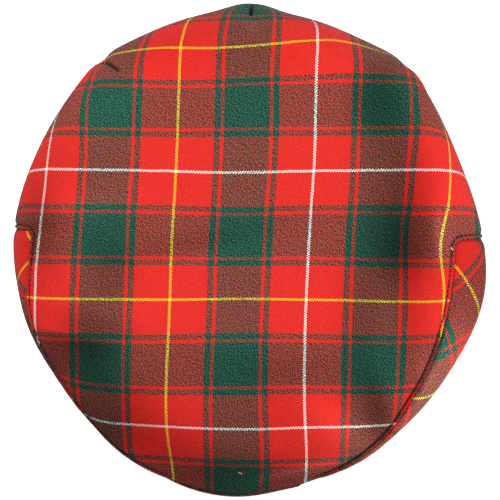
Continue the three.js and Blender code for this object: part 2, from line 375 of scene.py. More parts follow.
@dataclass(frozen=True)
class CapForm:
    """The cap's outer form, in millimetres: sections round the crown, the head opening and the peak.

    A place on the crown has a turn, in degrees round the cap from the back and positive on the wearer's
    left, and a stage along the section there.
    """

    sections: tuple[Section, ...] = SECTIONS
    uneven: tuple[Uneven, ...] = UNEVEN
    darts: tuple[Dart, ...] = DARTS
    dents: tuple[Dent, ...] = DENTS
    creases: tuple[Crease, ...] = CREASES
    seam_gap: float = 0.4
    head_length: float = 194.0
    head_width: float = 176.0
    head_shift: float = 9.0
    hem: float = 9.0
    top_height: float = 68.0
    top_slope: float = 0.27
    roll: float = 14.0
    flat_share: float = 0.6
    shoulder_share: float = 0.45
    tuck_share: float = 0.55
    dent_end: float = 2.8
    panel_back_left: float = 84.0
    panel_back_right: float = 86.0
    panel_corner: float = 4.0
    panel_tip: float = 166.0
    stitch_inset: float = 2.1
    stitch_groove: float = 1.1
    dart_begins: Range = (1.1, 1.6)
    dart_ends: Range = (2.4, 3.0)
    peak_thickness: float = 3.0
    peak_clearance: float = 0.6
    peak_arch: float = 15.0
    peak_half_span: float = 92.0
    peak_corner: float = 112.5
    peak_full: float = 140.0
    peak_show: float = 1.2
    peak_show_turns: Range = (145.0, 170.0)
    peak_tuck: float = 2.0
    peak_corner_width: float = 5.0
    lip_inset: float = 4.0
    lip_full: float = 130.0
    lip_rise: float = 9.0
    lip_risen: float = 1.0
    first_normal: float = 0.03
    stage_step: float = 0.01
    turn_step: float = 0.1
    stage_length: float = 40.0
    search_rounds: int = 4

    def section(self, turn: Array) -> dict[str, Array]:
        """Return the section table's values at each turn.

        Args:
            turn: Degrees round the cap.

        Returns:
            The five columns of the table, each as an array like turn.
        """
        at = np.abs(wrap(turn))
        turns = np.array([row.turn for row in self.sections], float)
        spot = np.clip(np.searchsorted(turns, at, side="right") - 1, 0, len(turns) - 2)
        step = turns[spot + 1] - turns[spot]
        share = (at - turns[spot]) / step
        padded = np.concatenate(([2 * turns[0] - turns[1]], turns, [2 * turns[-1] - turns[-2]]))
        values = {}
        for name in ("seam_radius", "seam_drop", "dip", "wide_radius", "wide_height"):
            knots = np.array([getattr(row, name) for row in self.sections], float)
            mirrored = np.concatenate(([knots[1]], knots, [knots[-2]]))
            slope = (mirrored[2:] - mirrored[:-2]) / (padded[2:] - padded[:-2])
            values[name] = (
                (2 * share**3 - 3 * share**2 + 1) * knots[spot]
                + (share**3 - 2 * share**2 + share) * step * slope[spot]
                + (3 * share**2 - 2 * share**3) * knots[spot + 1]
                + (share**3 - share**2) * step * slope[spot + 1]
            )
        for row in self.uneven:
            near = bell(wrap(np.asarray(turn, float) - row.turn), row.spread)
            values["seam_radius"] = values["seam_radius"] + row.seam * near
            values["wide_radius"] = values["wide_radius"] + row.wide * near
            values["dip"] = values["dip"] + row.dip * near
        return values

    def opening_radius(self, turn: Array) -> Array:
        """Return the head opening's radius, an ellipse seen from the cap's middle.

        Args:
            turn: Degrees round the cap.

        Returns:
            Millimetres at each turn.
        """
        sine, cosine = np.sin(np.radians(turn)), np.cos(np.radians(turn))
        across, along = self.head_width / 2, self.head_length / 2
        a = (sine / across) ** 2 + (cosine / along) ** 2
        b = -2 * cosine * self.head_shift / along**2
        c = (self.head_shift / along) ** 2 - 1
        return (-b + np.sqrt(b * b - 4 * a * c)) / (2 * a)

    def peak_top(self, x: Array) -> Array:
        """Return the height of the peak's upper face, arched from side to side."""
        share = np.minimum(1.0, np.abs(x) / self.peak_half_span)
        return self.peak_clearance + self.peak_thickness + self.peak_arch * np.cos(share * np.pi / 2)

    def peak_radius(self, turn: Array) -> Array:
        """Return the radius of the peak's outer edge.

        Args:
            turn: Degrees round the cap.

        Returns:
            Millimetres at each turn: beside the opening at the corners, and beyond the crown in front.
        """
        at = np.abs(wrap(turn))
        show = (self.peak_tuck + self.peak_show) * ramp(at, *self.peak_show_turns)
        full = self.section(turn)["wide_radius"] - self.peak_tuck + show
        corner = self.opening_radius(at) + self.peak_corner_width
        return blend(corner, full, ramp(at, self.peak_corner, self.peak_full))

    def edge_radius(self, turn: Array) -> Array:
        """Return the radius at which the crown's cloth turns in round the opening or meets the peak.

        Args:
            turn: Degrees round the cap.

        Returns:
            Millimetres at each turn.
        """
        at = np.abs(wrap(turn))
        hem = self.opening_radius(at) + self.hem
        lip = self.peak_radius(turn) - self.lip_inset
        return blend(hem, lip, ramp(at, self.peak_corner, self.lip_full))

    def edge_height(self, turn: Array, radius: Array) -> Array:
        """Return the height of the crown's lower edge.

        Args:
            turn: Degrees round the cap.
            radius: Distance from the cap's middle.

        Returns:
            Millimetres: 0 on the table, and just above the peak in front.
        """
        begins, ends = self.peak_corner - self.lip_rise, self.peak_corner - self.lip_risen
        on_peak = ramp(np.abs(wrap(turn)), begins, ends)
        return on_peak * (self.peak_top(around(radius, turn)[0]) + self.seam_gap)

    @staticmethod
    def _curve(points: Sequence[tuple[Array, Array]], share: Array) -> tuple[Array, Array]:
        """Return a point of a cubic curve.

        Args:
            points: Radius and height of its four handles.
            share: How far along the curve, from 0 to 1.

        Returns:
            Radius and height.
        """
        weights = ((1 - share) ** 3, 3 * (1 - share) ** 2 * share, 3 * (1 - share) * share**2, share**3)
        radius = sum(weight * point[0] for weight, point in zip(weights, points))
        height = sum(weight * point[1] for weight, point in zip(weights, points))
        return radius, height

    def profile(self, turn: Array, stage: Array) -> tuple[Array, Array]:
        """Return radius and height along the section at each turn, without darts' grooves and dents.

        Args:
            turn: Degrees round the cap.
            stage: Place along the section.

        Returns:
            Radius and height, in millimetres.
        """
        row = self.section(turn)
        slope = self.top_slope * np.cos(np.radians(turn))
        lobe = sum(dart.corner * bell(wrap(turn - dart.turn), dart.corner_turn) for dart in self.darts)
        seam_r, wide_z = row["seam_radius"], row["wide_height"]
        wide_r = row["wide_radius"] + lobe
        seam_z = self.top_height + slope * seam_r - row["seam_drop"]
        edge_r = self.edge_radius(turn)
        edge_z = self.edge_height(turn, edge_r)
        end_z = self.edge_height(turn, edge_r - self.hem)
        dip_r, dip_z = np.cos(np.radians(row["dip"])), -np.sin(np.radians(row["dip"]))
        reach = np.minimum(self.roll, self.shoulder_share * np.hypot(seam_r - wide_r, seam_z - wide_z))
        flat_r = self.flat_share * seam_r
        middle = np.zeros_like(seam_r)
        top = self._curve(
            (
                (middle, middle + self.top_height),
                (flat_r, self.top_height + slope * flat_r),
                (seam_r - self.roll * dip_r, seam_z - self.roll * dip_z),
                (seam_r, seam_z),
            ),
            np.clip(stage, 0, 1),
        )
        shoulder = self._curve(
            (
                (seam_r, seam_z),
                (seam_r + reach * dip_r, seam_z + reach * dip_z),
                (wide_r, blend(wide_z, seam_z, self.shoulder_share)),
                (wide_r, wide_z),
            ),
            np.clip(stage - SEAM, 0, 1),
        )
        tuck = self._curve(
            (
                (wide_r, wide_z),
                (wide_r, blend(wide_z, edge_z, self.tuck_share)),
                (blend(edge_r, wide_r, self.tuck_share), edge_z),
                (edge_r, edge_z),
            ),
            np.clip(stage - WIDEST, 0, 1),
        )
        along = np.clip(stage - BOTTOM, 0, 1)
        hem = (edge_r - self.hem * along, blend(edge_z, end_z, along))
        pick = [stage <= SEAM, stage <= WIDEST, stage <= BOTTOM]
        radius = np.select(pick, [top[0], shoulder[0], tuck[0]], hem[0])
        height = np.select(pick, [top[1], shoulder[1], tuck[1]], hem[1])
        return radius, height

    def point(self, turn: Array, stage: Array) -> Array:
        """Return points of the crown's outer face, with its darts, dents and creases.

        Args:
            turn: Degrees round the cap.
            stage: Place along the section.

        Returns:
            Points in millimetres.
        """
        turn, stage = np.broadcast_arrays(np.asarray(turn, float), np.asarray(stage, float))
        radius, height = self.profile(turn, stage)
        groove = sum(dart.groove * bell(wrap(turn - dart.turn), dart.groove_turn) for dart in self.darts)
        radius = radius - groove * ramp(stage, *self.dart_begins) * fade(stage, *self.dart_ends)
        radius = radius - sum(dart.line(turn, stage) for dart in self.darts)
        x, y = around(radius, turn)
        return np.stack((x, y, height - self.hollow(x, y) * fade(stage, SEAM, self.dent_end)), axis=-1)

    def hollow(self, x: Array, y: Array) -> Array:
        """Return how far the dents and creases sink the top at each place, negative where they raise it; the
        same depth also sets the cloth's painted shade.
        """
        return sum(dent.sink(x, y) for dent in self.dents) - sum(crease.lift(x, y) for crease in self.creases)

    def normal(self, turn: Array, stage: Array) -> Array:
        """Return directions straight out of the crown's outer face.

        Args:
            turn: Degrees round the cap.
            stage: Place along the section.

        Returns:
            Directions of length 1.
        """
        at = np.clip(stage, self.first_normal, HEM_END)
        lower = np.minimum(at + self.stage_step, HEM_END)
        down = self.point(turn, lower) - self.point(turn, at - self.stage_step)
        aside = self.point(turn + self.turn_step, at) - self.point(turn - self.turn_step, at)
        out = np.cross(aside, down)
        return out / np.linalg.norm(out, axis=-1, keepdims=True)

    def panel_back(self, turn: Array) -> Array:
        """Return the turn, without its sign, at which the side panel on that side begins."""
        return np.where(wrap(turn) > 0, self.panel_back_left, self.panel_back_right)

    def panel_start(self, side: Side) -> tuple[float, float]:
        """Return the turn, without its sign, at which a side's panel begins, and the seam's radius there."""
        back = float(self.panel_back(np.array(side.value)))
        return back, float(self.profile(np.array(side.value * back), np.array(SEAM))[0])

    def seam_distance(self, turn: Array, stage: Array) -> Array:
        """Return the distance to the seam round the side panels, negative inside a panel.

        Args:
            turn: Degrees round the cap.
            stage: Place along the section.

        Returns:
            Millimetres along the cloth, with the panels' upper corners rounded.
        """
        at = np.abs(wrap(turn))
        radius, _ = self.profile(turn, stage)
        scale = np.radians(1.0) * radius
        below = self.length(turn, np.ones_like(stage), stage, SEAM_STEPS) * np.sign(stage - SEAM)
        back = self.panel_corner - (at - self.panel_back(turn)) * scale
        tip = self.panel_corner - (self.panel_tip - at) * scale
        ends = np.maximum(back, tip)
        top = self.panel_corner - below
        outside = np.hypot(np.maximum(ends, 0), np.maximum(top, 0))
        return outside + np.minimum(np.maximum(ends, top), 0) - self.panel_corner

    def stage_at(self, turn: Array, below: Array) -> Array:
        """Return the stage that lies so far below the seam along the section.

        Args:
            turn: Degrees round the cap.
            below: Millimetres below the seam, negative above it.

        Returns:
            Stages along the sections.
        """
        stage = SEAM + below / self.stage_length
        for _ in range(self.search_rounds):
            found = self.length(turn, np.ones_like(stage), stage, SEARCH_STEPS) * np.sign(stage - SEAM)
            stage = stage + (below - found) / self.stage_length
        return stage

    def length(self, turn: Array, start: Array, stage: Array, steps: int = FLAT_STEPS) -> Array:
        """Return the length along the section from one stage to another, without dents.

        Args:
            turn: Degrees round the cap.
            start: The first stage.
            stage: The last stage.
            steps: How many points measure the length.

        Returns:
            Millimetres.
        """
        share = np.linspace(0, 1, steps)
        stages = start[..., None] + (stage - start)[..., None] * share
        radius, height = self.profile(np.repeat(turn[..., None], steps, axis=-1), stages)
        return np.hypot(np.diff(radius, axis=-1), np.diff(height, axis=-1)).sum(axis=-1)


class Graph:
    """A new material and short ways to add nodes to its tree and link them."""

    MIX_NUMBERS = (0, 2, 3)
    MIX_COLOURS = (0, 6, 7)
    MIXED_COLOUR = 2

    def __init__(self, name: str) -> None:
        """Start a material with an empty tree.

        Args:
            name: The material's name.
        """
        self.material = bpy.data.materials.new(name)
        self.material.use_nodes = True
        self.tree = self.material.node_tree
        self.tree.nodes.clear()

    def add(self, kind: str, **values: object) -> bpy.types.Node:
        """Return a new node.

        Args:
            kind: The type of the node.
            **values: Its properties.

        Returns:
            The node with these properties set.
        """
        node = self.tree.nodes.new(kind)
        for name, value in values.items():
            setattr(node, name, value)
        return node

    def feed(self, socket: bpy.types.NodeSocket, value: Feed) -> None:
        """Give an input a link or a value of its own.

        Args:
            socket: The input.
            value: The output to link to it, or the value to set.
        """
        if isinstance(value, bpy.types.NodeSocket):
            self.tree.links.new(value, socket)
        else:
            socket.default_value = value

    def fill(
        self, node: bpy.types.Node, values: Sequence[Feed], places: Sequence[int] = (0, 1, 2)
    ) -> bpy.types.Node:
        """Feed several inputs of a node.

        Args:
            node: The node.
            values: What its inputs get.
            places: The places of these inputs among all.

        Returns:
            The same node.
        """
        for place, value in zip(places, values):
            self.feed(node.inputs[place], value)
        return node

    def math(self, operation: str, *values: Feed) -> bpy.types.NodeSocket:
        """Return the result of a Math node."""
        return self.fill(self.add("ShaderNodeMath", operation=operation), values).outputs[0]

    def vector(self, operation: str, *values: Feed) -> bpy.types.NodeSocket:
        """Return the result of a Vector Math node."""
        return self.fill(self.add("ShaderNodeVectorMath", operation=operation), values).outputs[0]

    def join(self, x: Feed, y: Feed) -> bpy.types.NodeSocket:
        """Return a vector from two numbers."""
        return self.fill(self.add("ShaderNodeCombineXYZ"), (x, y)).outputs[0]

    def pick(self, factor: Feed, first: Feed, second: Feed) -> bpy.types.NodeSocket:
        """Return a number mixed from first to second by the factor."""
        node = self.add("ShaderNodeMix", data_type="FLOAT")
        return self.fill(node, (factor, first, second), self.MIX_NUMBERS).outputs[0]

    def tint(self, factor: Feed, first: Feed, second: Feed, how: str = "MIX") -> bpy.types.NodeSocket:
        """Return a colour mixed from first to second by the factor."""
        node = self.add("ShaderNodeMix", data_type="RGBA", blend_type=how)
        return self.fill(node, (factor, first, second), self.MIX_COLOURS).outputs[self.MIXED_COLOUR]

    def noise(self, vector: Feed, scale: float, detail: float, rough: float = 0.5) -> bpy.types.NodeSocket:
        """Return a soft noise between 0 and 1.

        Args:
            vector: Where it is read.
            scale: How often it swings.
            detail: How many finer noises are added.
            rough: How strong each of them is.

        Returns:
            The noise.
        """
        node = self.add("ShaderNodeTexNoise")
        for name, value in (("Vector", vector), ("Scale", scale), ("Detail", detail), ("Roughness", rough)):
            self.feed(node.inputs[name], value)
        return node.outputs[0]

    def scatter(self, dimensions: str, socket: str, value: Feed) -> bpy.types.NodeSocket:
        """Return a number between 0 and 1 that differs from place to place.

        Args:
            dimensions: Whether the place is one number (1D) or two (2D).
            socket: The input that takes it.
            value: The place.

        Returns:
            The number.
        """
        node = self.add("ShaderNodeTexWhiteNoise", noise_dimensions=dimensions)
        self.feed(node.inputs[socket], value)
        return node.outputs[0]

    def stripes(self, factor: Feed, stops: Sequence[tuple[float, tuple[float, ...]]]) -> bpy.types.Node:
        """Return a node whose colour and alpha change in steps.

        Args:
            factor: A number between 0 and 1.
            stops: Where each step begins, and its colour with alpha.

        Returns:
            The node, with the colour and the alpha as its outputs.
        """
        node = self.add("ShaderNodeValToRGB")
        node.color_ramp.interpolation = "CONSTANT"
        elements = node.color_ramp.elements
        while len(elements) < len(stops):
            elements.new(1.0)
        for element, (place, colour) in zip(elements, stops):
            element.position = place
            element.color = colour
        return self.fill(node, (factor,))

    def bump(self, height: Feed, distance: float, strength: float = 1.0) -> bpy.types.NodeSocket:
        """Return a normal with relief.

        Args:
            height: The relief, from 0 to 1.
            distance: How high 1 stands, in metres.
            strength: How far the relief counts.

        Returns:
            The normal.
        """
        node = self.add("ShaderNodeBump")
        for name, value in (("Strength", strength), ("Distance", distance), ("Height", height)):
            self.feed(node.inputs[name], value)
        return node.outputs[0]

    def finish(self, **sockets: Feed) -> bpy.types.Material:
        """Give the surface its shader.

        Args:
            **sockets: What each input of the shader gets, by its name with _ for a space.

        Returns:
            The finished material.
        """
        shader = self.add("ShaderNodeBsdfPrincipled")
        for name, value in sockets.items():
            self.feed(shader.inputs[name.replace("_", " ")], value)
        output = self.add("ShaderNodeOutputMaterial")
        self.feed(output.inputs["Surface"], shader.outputs[0])
        return self.material


@dataclass(frozen=True)
class Dye:
    """A yarn's linear colour, how far the yarn beneath shows through, and how mottled it is."""

    colour: tuple[float, float, float]
    shows: float
    mottle: float


class Yarn(Enum):
    """The dyed yarns of the tartan."""

    RED = Dye((0.645, 0.023, 0.017), 0.12, 0.03)
    GREEN = Dye((0.0086, 0.071, 0.045), 0.14, 1.10)
    YELLOW = Dye((0.86, 0.62, 0.03), 0.02, 0.10)
    WHITE = Dye((0.90, 0.88, 0.84), 0.02, 0.10)


@dataclass(frozen=True)
class TartanTwill:
    """A two-by-two twill tartan, worked out yarn by yarn from the cloth's own flat coordinates.

    The pitch and the relief are in metres, and a noise's scale is how often it swings in a metre.
    """

    name: str = "tartan_twill"
    pitch: float = 0.0003707
    half_sett: tuple[tuple[Yarn, int], ...] = (
        (Yarn.YELLOW, 2),
        (Yarn.RED, 52),
        (Yarn.GREEN, 9),
        (Yarn.RED, 5),
        (Yarn.GREEN, 67),
        (Yarn.RED, 5),
        (Yarn.GREEN, 9),
        (Yarn.RED, 52),
        (Yarn.WHITE, 2),
    )
    repeat: float = 4.0
    stop_lead: float = 0.3
    warp_under: float = 0.33
    weft_under: float = 0.18
    line_below: float = 0.08
    sway: float = 1.4
    sway_scale: float = 90.0
    slip: float = 5.0
    slip_scale: float = 1400.0
    uneven: float = 0.056
    dye_share: float = 0.6
    slub_share: float = 1.6
    slub_apart: float = 7.31
    slub_rate: float = 0.16
    speckle: float = 0.02
    fibre: float = 0.05
    mottle: float = 4.6
    streak: Range = (0.62, 0.28)
    streak_rough: float = 0.6
    least_tone: float = 0.2
    darkest: float = 0.001
    # Painted shade: how far each millimetre of the hollow attribute darkens the colour and deepens it.
    painted_shade_strength: float = 0.12
    painted_shade_deepen: float = 0.036
    relief: float = 0.0001
    relief_strength: float = 0.8
    yarn_round: float = 0.75
    yarn_arch: float = 0.45
    fuzz: float = 0.5
    fuzz_scale: float = 2600.0
    fuzz_rough: float = 0.6
    roughness: float = 0.8
    roughness_swing: float = 0.16
    specular: float = 0.12
    sheen: float = 0.05
    sheen_roughness: float = 0.4
    sheen_tint: tuple[float, float, float, float] = (1.0, 0.86, 0.84, 1.0)

    def _bands(self, through: bool) -> list[tuple[float, tuple[float, ...]]]:
        """Return the half sett as steps between 0 and 1.

        Args:
            through: Whether the colours are thinned by what shows through.

        Returns:
            Places and colours: thinned, with the yarn's mottle, or plain, with what shows through.
        """
        total = sum(count for _, count in self.half_sett)
        stops, start = [], 0
        for yarn, count in self.half_sett:
            dye = yarn.value
            power = 1.0 - dye.shows if through else 1.0
            place = max(0.0, (start - self.stop_lead) / total)
            colour = (channel**power for channel in dye.colour)
            stops.append((place, (*colour, dye.mottle if through else dye.shows)))
            start += count
        return stops

    def material(self) -> bpy.types.Material:
        """Return the cloth's material.

        Returns:
            A material that reads the piece's own UV map, in metres along warp and weft.
        """
        graph = Graph(self.name)
        place = graph.add("ShaderNodeUVMap", uv_map="cloth").outputs[0]
        drift = graph.math("SUBTRACT", graph.noise(place, self.sway_scale, 2.0), 0.5)
        sway = graph.math("MULTIPLY", drift, self.sway)
        split = graph.add("ShaderNodeSeparateXYZ")
        graph.fill(split, (graph.vector("MULTIPLY", place, (1.0 / self.pitch,) * 3),))
        runs = (graph.math("ADD", split.outputs[0], sway), graph.math("SUBTRACT", split.outputs[1], sway))
        numbers = tuple(graph.math("FLOOR", run) for run in runs)
        plain, thin = self._stripes(graph, numbers, False), self._stripes(graph, numbers, True)
        lines = [graph.math("LESS_THAN", yarn.outputs[1], self.line_below) for yarn in plain]
        ground = graph.math("SUBTRACT", 1.0, graph.math("MAXIMUM", *lines))
        loose = graph.math("SUBTRACT", graph.noise(place, self.slip_scale, 1.0), 0.5)
        slip = graph.math("MULTIPLY", graph.math("MULTIPLY", loose, self.slip), ground)
        step = graph.math("ADD", graph.math("SUBTRACT", *numbers), slip)
        over = graph.math("LESS_THAN", graph.math("FLOORED_MODULO", step, self.repeat), self.repeat / 2)
        colour, mottle = self._colour(graph, over, plain, thin, ground)
        colour = graph.tint(1.0, colour, self._yarn_shade(graph, over, numbers, runs), "MULTIPLY")
        # Painted shade from the piece's hollow attribute.
        colour = self._painted_shade_colour(graph, self._mottled(graph, colour, runs, mottle))
        height = self._yarn_height(graph, over, numbers, runs, slip)
        fuzz = graph.noise(place, self.fuzz_scale, 3.0, self.fuzz_rough)
        height = graph.math("MULTIPLY_ADD", fuzz, self.fuzz, height)
        return graph.finish(
            Base_Color=colour,
            Normal=graph.bump(height, self.relief, self.relief_strength),
            Roughness=graph.math("MULTIPLY_ADD", fuzz, self.roughness_swing, self.roughness),
            Specular_IOR_Level=self.specular,
            Sheen_Weight=self.sheen,
            Sheen_Roughness=self.sheen_roughness,
            Sheen_Tint=self.sheen_tint,
        )

    def _stripes(self, graph: Graph, numbers: Sequence[Feed], through: bool) -> list[bpy.types.Node]:
        """Return the colours of the warp and of the weft.

        Args:
            graph: The material's graph.
            numbers: The number of the warp yarn and of the weft yarn.
            through: Whether the colours are thinned by what shows through.

        Returns:
            A node for each, with its colour and its alpha.
        """
        total = float(sum(count for _, count in self.half_sett))
        made = []
        for number in numbers:
            share = graph.math("DIVIDE", graph.math("PINGPONG", graph.math("ADD", number, 0.5), total), total)
            made.append(graph.stripes(share, self._bands(through)))
        return made

    def _colour(
        self,
        graph: Graph,
        over: Feed,
        plain: Sequence[bpy.types.Node],
        thin: Sequence[bpy.types.Node],
        ground: Feed,
    ) -> tuple[bpy.types.NodeSocket, bpy.types.NodeSocket]:
        """Return the colour of the cloth and how mottled it is.

        Args:
            graph: The material's graph.
            over: 1 where the warp lies on top.
            plain: The plain colours of warp and weft, with what shows through.
            thin: Their colours thinned by what shows through, with the mottle.
            ground: 1 away from the yellow and white lines, where neighbours blend.

        Returns:
            The colour of the yarn on top, stained by the yarn beneath it, and its mottle.
        """
        tops = []
        for top, under in ((0, 1), (1, 0)):
            stain = graph.vector("POWER", plain[under].outputs[0], plain[top].outputs[1])
            tops.append(graph.tint(1.0, thin[top].outputs[0], stain, "MULTIPLY"))
        low = graph.math("MULTIPLY", ground, self.warp_under)
        high = graph.math("MULTIPLY_ADD", ground, -self.weft_under, 1.0)
        mottle = graph.math("MAXIMUM", thin[0].outputs[1], thin[1].outputs[1])
        return graph.tint(graph.pick(over, low, high), tops[1], tops[0]), mottle

    def _mottled(
        self, graph: Graph, colour: Feed, runs: Sequence[Feed], mottle: Feed
    ) -> bpy.types.NodeSocket:
        """Return the colour with the uneven tone of blended fibres, in short streaks along the twill.

        Args:
            graph: The material's graph.
            colour: The colour of the yarns.
            runs: The place across the warp and along it, in yarns.
            mottle: How mottled the yarns are.

        Returns:
            The toned colour, never quite black.
        """
        slant = [
            graph.math("MULTIPLY", graph.math(how, *runs), often)
            for how, often in zip(("SUBTRACT", "ADD"), self.streak)
        ]
        blot = graph.math("SUBTRACT", graph.noise(graph.join(*slant), 1.0, 2.0, self.streak_rough), 0.5)
        swing = graph.math("MULTIPLY", graph.math("MULTIPLY", blot, self.mottle), mottle)
        tone = graph.math("MAXIMUM", graph.math("ADD", swing, 1.0), self.least_tone)
        pale = (self.fibre,) * 3
        toned = graph.vector("MULTIPLY", graph.vector("ADD", colour, pale), tone)
        return graph.vector("MAXIMUM", graph.vector("SUBTRACT", toned, pale), (self.darkest,) * 3)

    def _painted_shade_colour(self, graph: Graph, colour: Feed) -> bpy.types.NodeSocket:
        """Return the colour with painted shade: deeper and darker in the hollows and beside the seams,
        lighter where the depth is negative.

        Args:
            graph: The material's graph.
            colour: The colour of the cloth.

        Returns:
            The colour with painted shade, by the depth in millimetres from the piece's hollow attribute.
        """
        # The hollow attribute holds painted shade, and painted light where it is negative.
        depth = graph.add("ShaderNodeAttribute", attribute_name="hollow").outputs["Fac"]
        colour = graph.vector("POWER", colour, graph.math("MULTIPLY_ADD", depth, self.painted_shade_deepen, 1.0))
        shade = graph.math("EXPONENT", graph.math("MULTIPLY", depth, -self.painted_shade_strength))
        return graph.tint(1.0, colour, shade, "MULTIPLY")

    def _yarn_shade(
        self, graph: Graph, over: Feed, numbers: Sequence[Feed], runs: Sequence[Feed]
    ) -> bpy.types.NodeSocket:
        """Return the small differences of tone from yarn to yarn, along each yarn and from float to float.

        Args:
            graph: The material's graph.
            over: 1 where the warp lies on top.
            numbers: The number of the warp yarn and of the weft yarn.
            runs: The place across the warp and along it, in yarns.

        Returns:
            A tone about 1.
        """
        tones = []
        middle = 1.0 - self.uneven * (self.slub_share + self.dye_share) / 2
        for number, run in zip(numbers, reversed(runs)):
            dye = graph.math("MULTIPLY", graph.scatter("1D", "W", number), self.dye_share)
            apart = graph.math("MULTIPLY", number, self.slub_apart)
            slub = graph.noise(graph.join(apart, graph.math("MULTIPLY", run, self.slub_rate)), 1.0, 2.0)
            mixed = graph.math("MULTIPLY_ADD", slub, self.slub_share, dye)
            tones.append(graph.math("MULTIPLY_ADD", mixed, self.uneven, middle))
        fleck = graph.scatter("2D", "Vector", graph.join(*numbers))
        spark = graph.math("MULTIPLY_ADD", fleck, self.speckle * 2, 1.0 - self.speckle)
        return graph.math("MULTIPLY", graph.pick(over, tones[1], tones[0]), spark)

    def _yarn_height(
        self, graph: Graph, over: Feed, numbers: Sequence[Feed], runs: Sequence[Feed], slip: Feed
    ) -> bpy.types.NodeSocket:
        """Return the rounded relief of the yarn that lies on top.

        Args:
            graph: The material's graph.
            over: 1 where the warp lies on top.
            numbers: The number of the warp yarn and of the weft yarn.
            runs: The place across the warp and along it, in yarns.
            slip: How far the floats are out of step.

        Returns:
            A height between 0 and 1, long over two yarns and short across.
        """
        heights = []
        half = self.repeat / 2
        slips = (slip, graph.math("SUBTRACT", self.repeat - 1, slip))
        for number, cross, run, offset in zip(numbers, runs, reversed(runs), slips):
            side = graph.math("SUBTRACT", graph.math("MULTIPLY", graph.math("FRACT", cross), 2.0), 1.0)
            rounded = graph.math("MULTIPLY_ADD", graph.math("MULTIPLY", side, side), -self.yarn_round, 1.0)
            lead = graph.math("SUBTRACT", graph.math("SUBTRACT", run, number), offset)
            reach = graph.math("WRAP", lead, half, -half)
            arch = graph.math("MULTIPLY_ADD", graph.math("MULTIPLY", reach, reach), -self.yarn_arch, 1.0)
            heights.append(graph.math("MULTIPLY", rounded, arch))
        return graph.pick(over, heights[1], heights[0])


@dataclass(frozen=True)
class ThreadFinish:
    """Sewing thread: a dyed ply, almost matt."""

    name: str
    colour: tuple[float, float, float]
    ply_scale: float = 4200.0
    ply_dark: float = 0.6
    relief: float = 0.0001
    roughness: float = 0.8
    specular: float = 0.15

    def material(self) -> bpy.types.Material:
        """Return the thread's material.

        Returns:
            A material with a fine, uneven ply.
        """
        graph = Graph(self.name)
        ply = graph.noise(graph.add("ShaderNodeTexCoord").outputs["Object"], self.ply_scale, 2.0)
        dark = tuple(channel * self.ply_dark for channel in self.colour)
        return graph.finish(
            Base_Color=graph.tint(ply, (*dark, 1.0), (*self.colour, 1.0)),
            Normal=graph.bump(ply, self.relief),
            Roughness=self.roughness,
            Specular_IOR_Level=self.specular,
        )


@dataclass(frozen=True)
class FloorFinish:
    """A pale matt studio floor."""

    name: str = "studio_floor"
    colour: tuple[float, float, float] = (0.9, 0.9, 0.9)
    mottle_scale: float = 3.0
    mottle_dark: float = 0.99
    roughness: float = 0.9
    specular: float = 0.1
    glow: float = 0.62

    def material(self) -> bpy.types.Material:
        """Return the floor's material.

        Returns:
            A material with a very faint mottle and an even glow.
        """
        graph = Graph(self.name)
        mottle = graph.noise(graph.add("ShaderNodeTexCoord").outputs["Object"], self.mottle_scale, 2.0)
        shade = tuple(channel * self.mottle_dark for channel in self.colour)
        return graph.finish(
            Base_Color=graph.tint(mottle, (*shade, 1.0), (*self.colour, 1.0)),
            Roughness=self.roughness,
            Specular_IOR_Level=self.specular,
            Emission_Color=(1.0, 1.0, 1.0, 1.0),
            Emission_Strength=self.glow,
        )


@dataclass(frozen=True)
class Pull:
    """A place where the weave is drawn aside, in millimetres of the flat cloth."""

    x: float
    y: float
    reach: float
    shift_u: float
    shift_v: float


@dataclass(frozen=True)
class Lay:
    """How the cloth lies: where the weave starts, in millimetres, and how it slants in each 100 mm."""

    start: Range
    slant_u: Range
    slant_v: Range

    def shift(self, point: Array) -> Array:
        """Return the drift of warp and weft at each place, in millimetres."""
        drift = [point[:, :2] @ np.array(slant) / 100 for slant in (self.slant_u, self.slant_v)]
        return np.stack(drift, axis=-1) + np.array(self.start)


@dataclass(frozen=True)
class Pucker:
    """The small waves that a row of stitches draws into the cloth, in millimetres."""

    deep: float
    climb: float
    waves: Range
    shift: float
    away: float
    reach: float
    run: float = 120.0
    ends: Range = (1.8, 2.6)

    def depth(self, turn: Array, stage: Array, away: Array) -> Array:
        """Return how far the waves sink the cloth.

        Args:
            turn: Degrees round the cap.
            stage: Place along the section.
            away: Distance from the seam.

        Returns:
            Millimetres, negative on the crests.
        """
        along = np.radians(turn) * self.run + stage * self.climb
        wave = np.sin(along / self.waves[0]) * np.sin(along / self.waves[1] + self.shift)
        return self.deep * wave * bell(away - self.away, self.reach) * fade(stage, *self.ends)


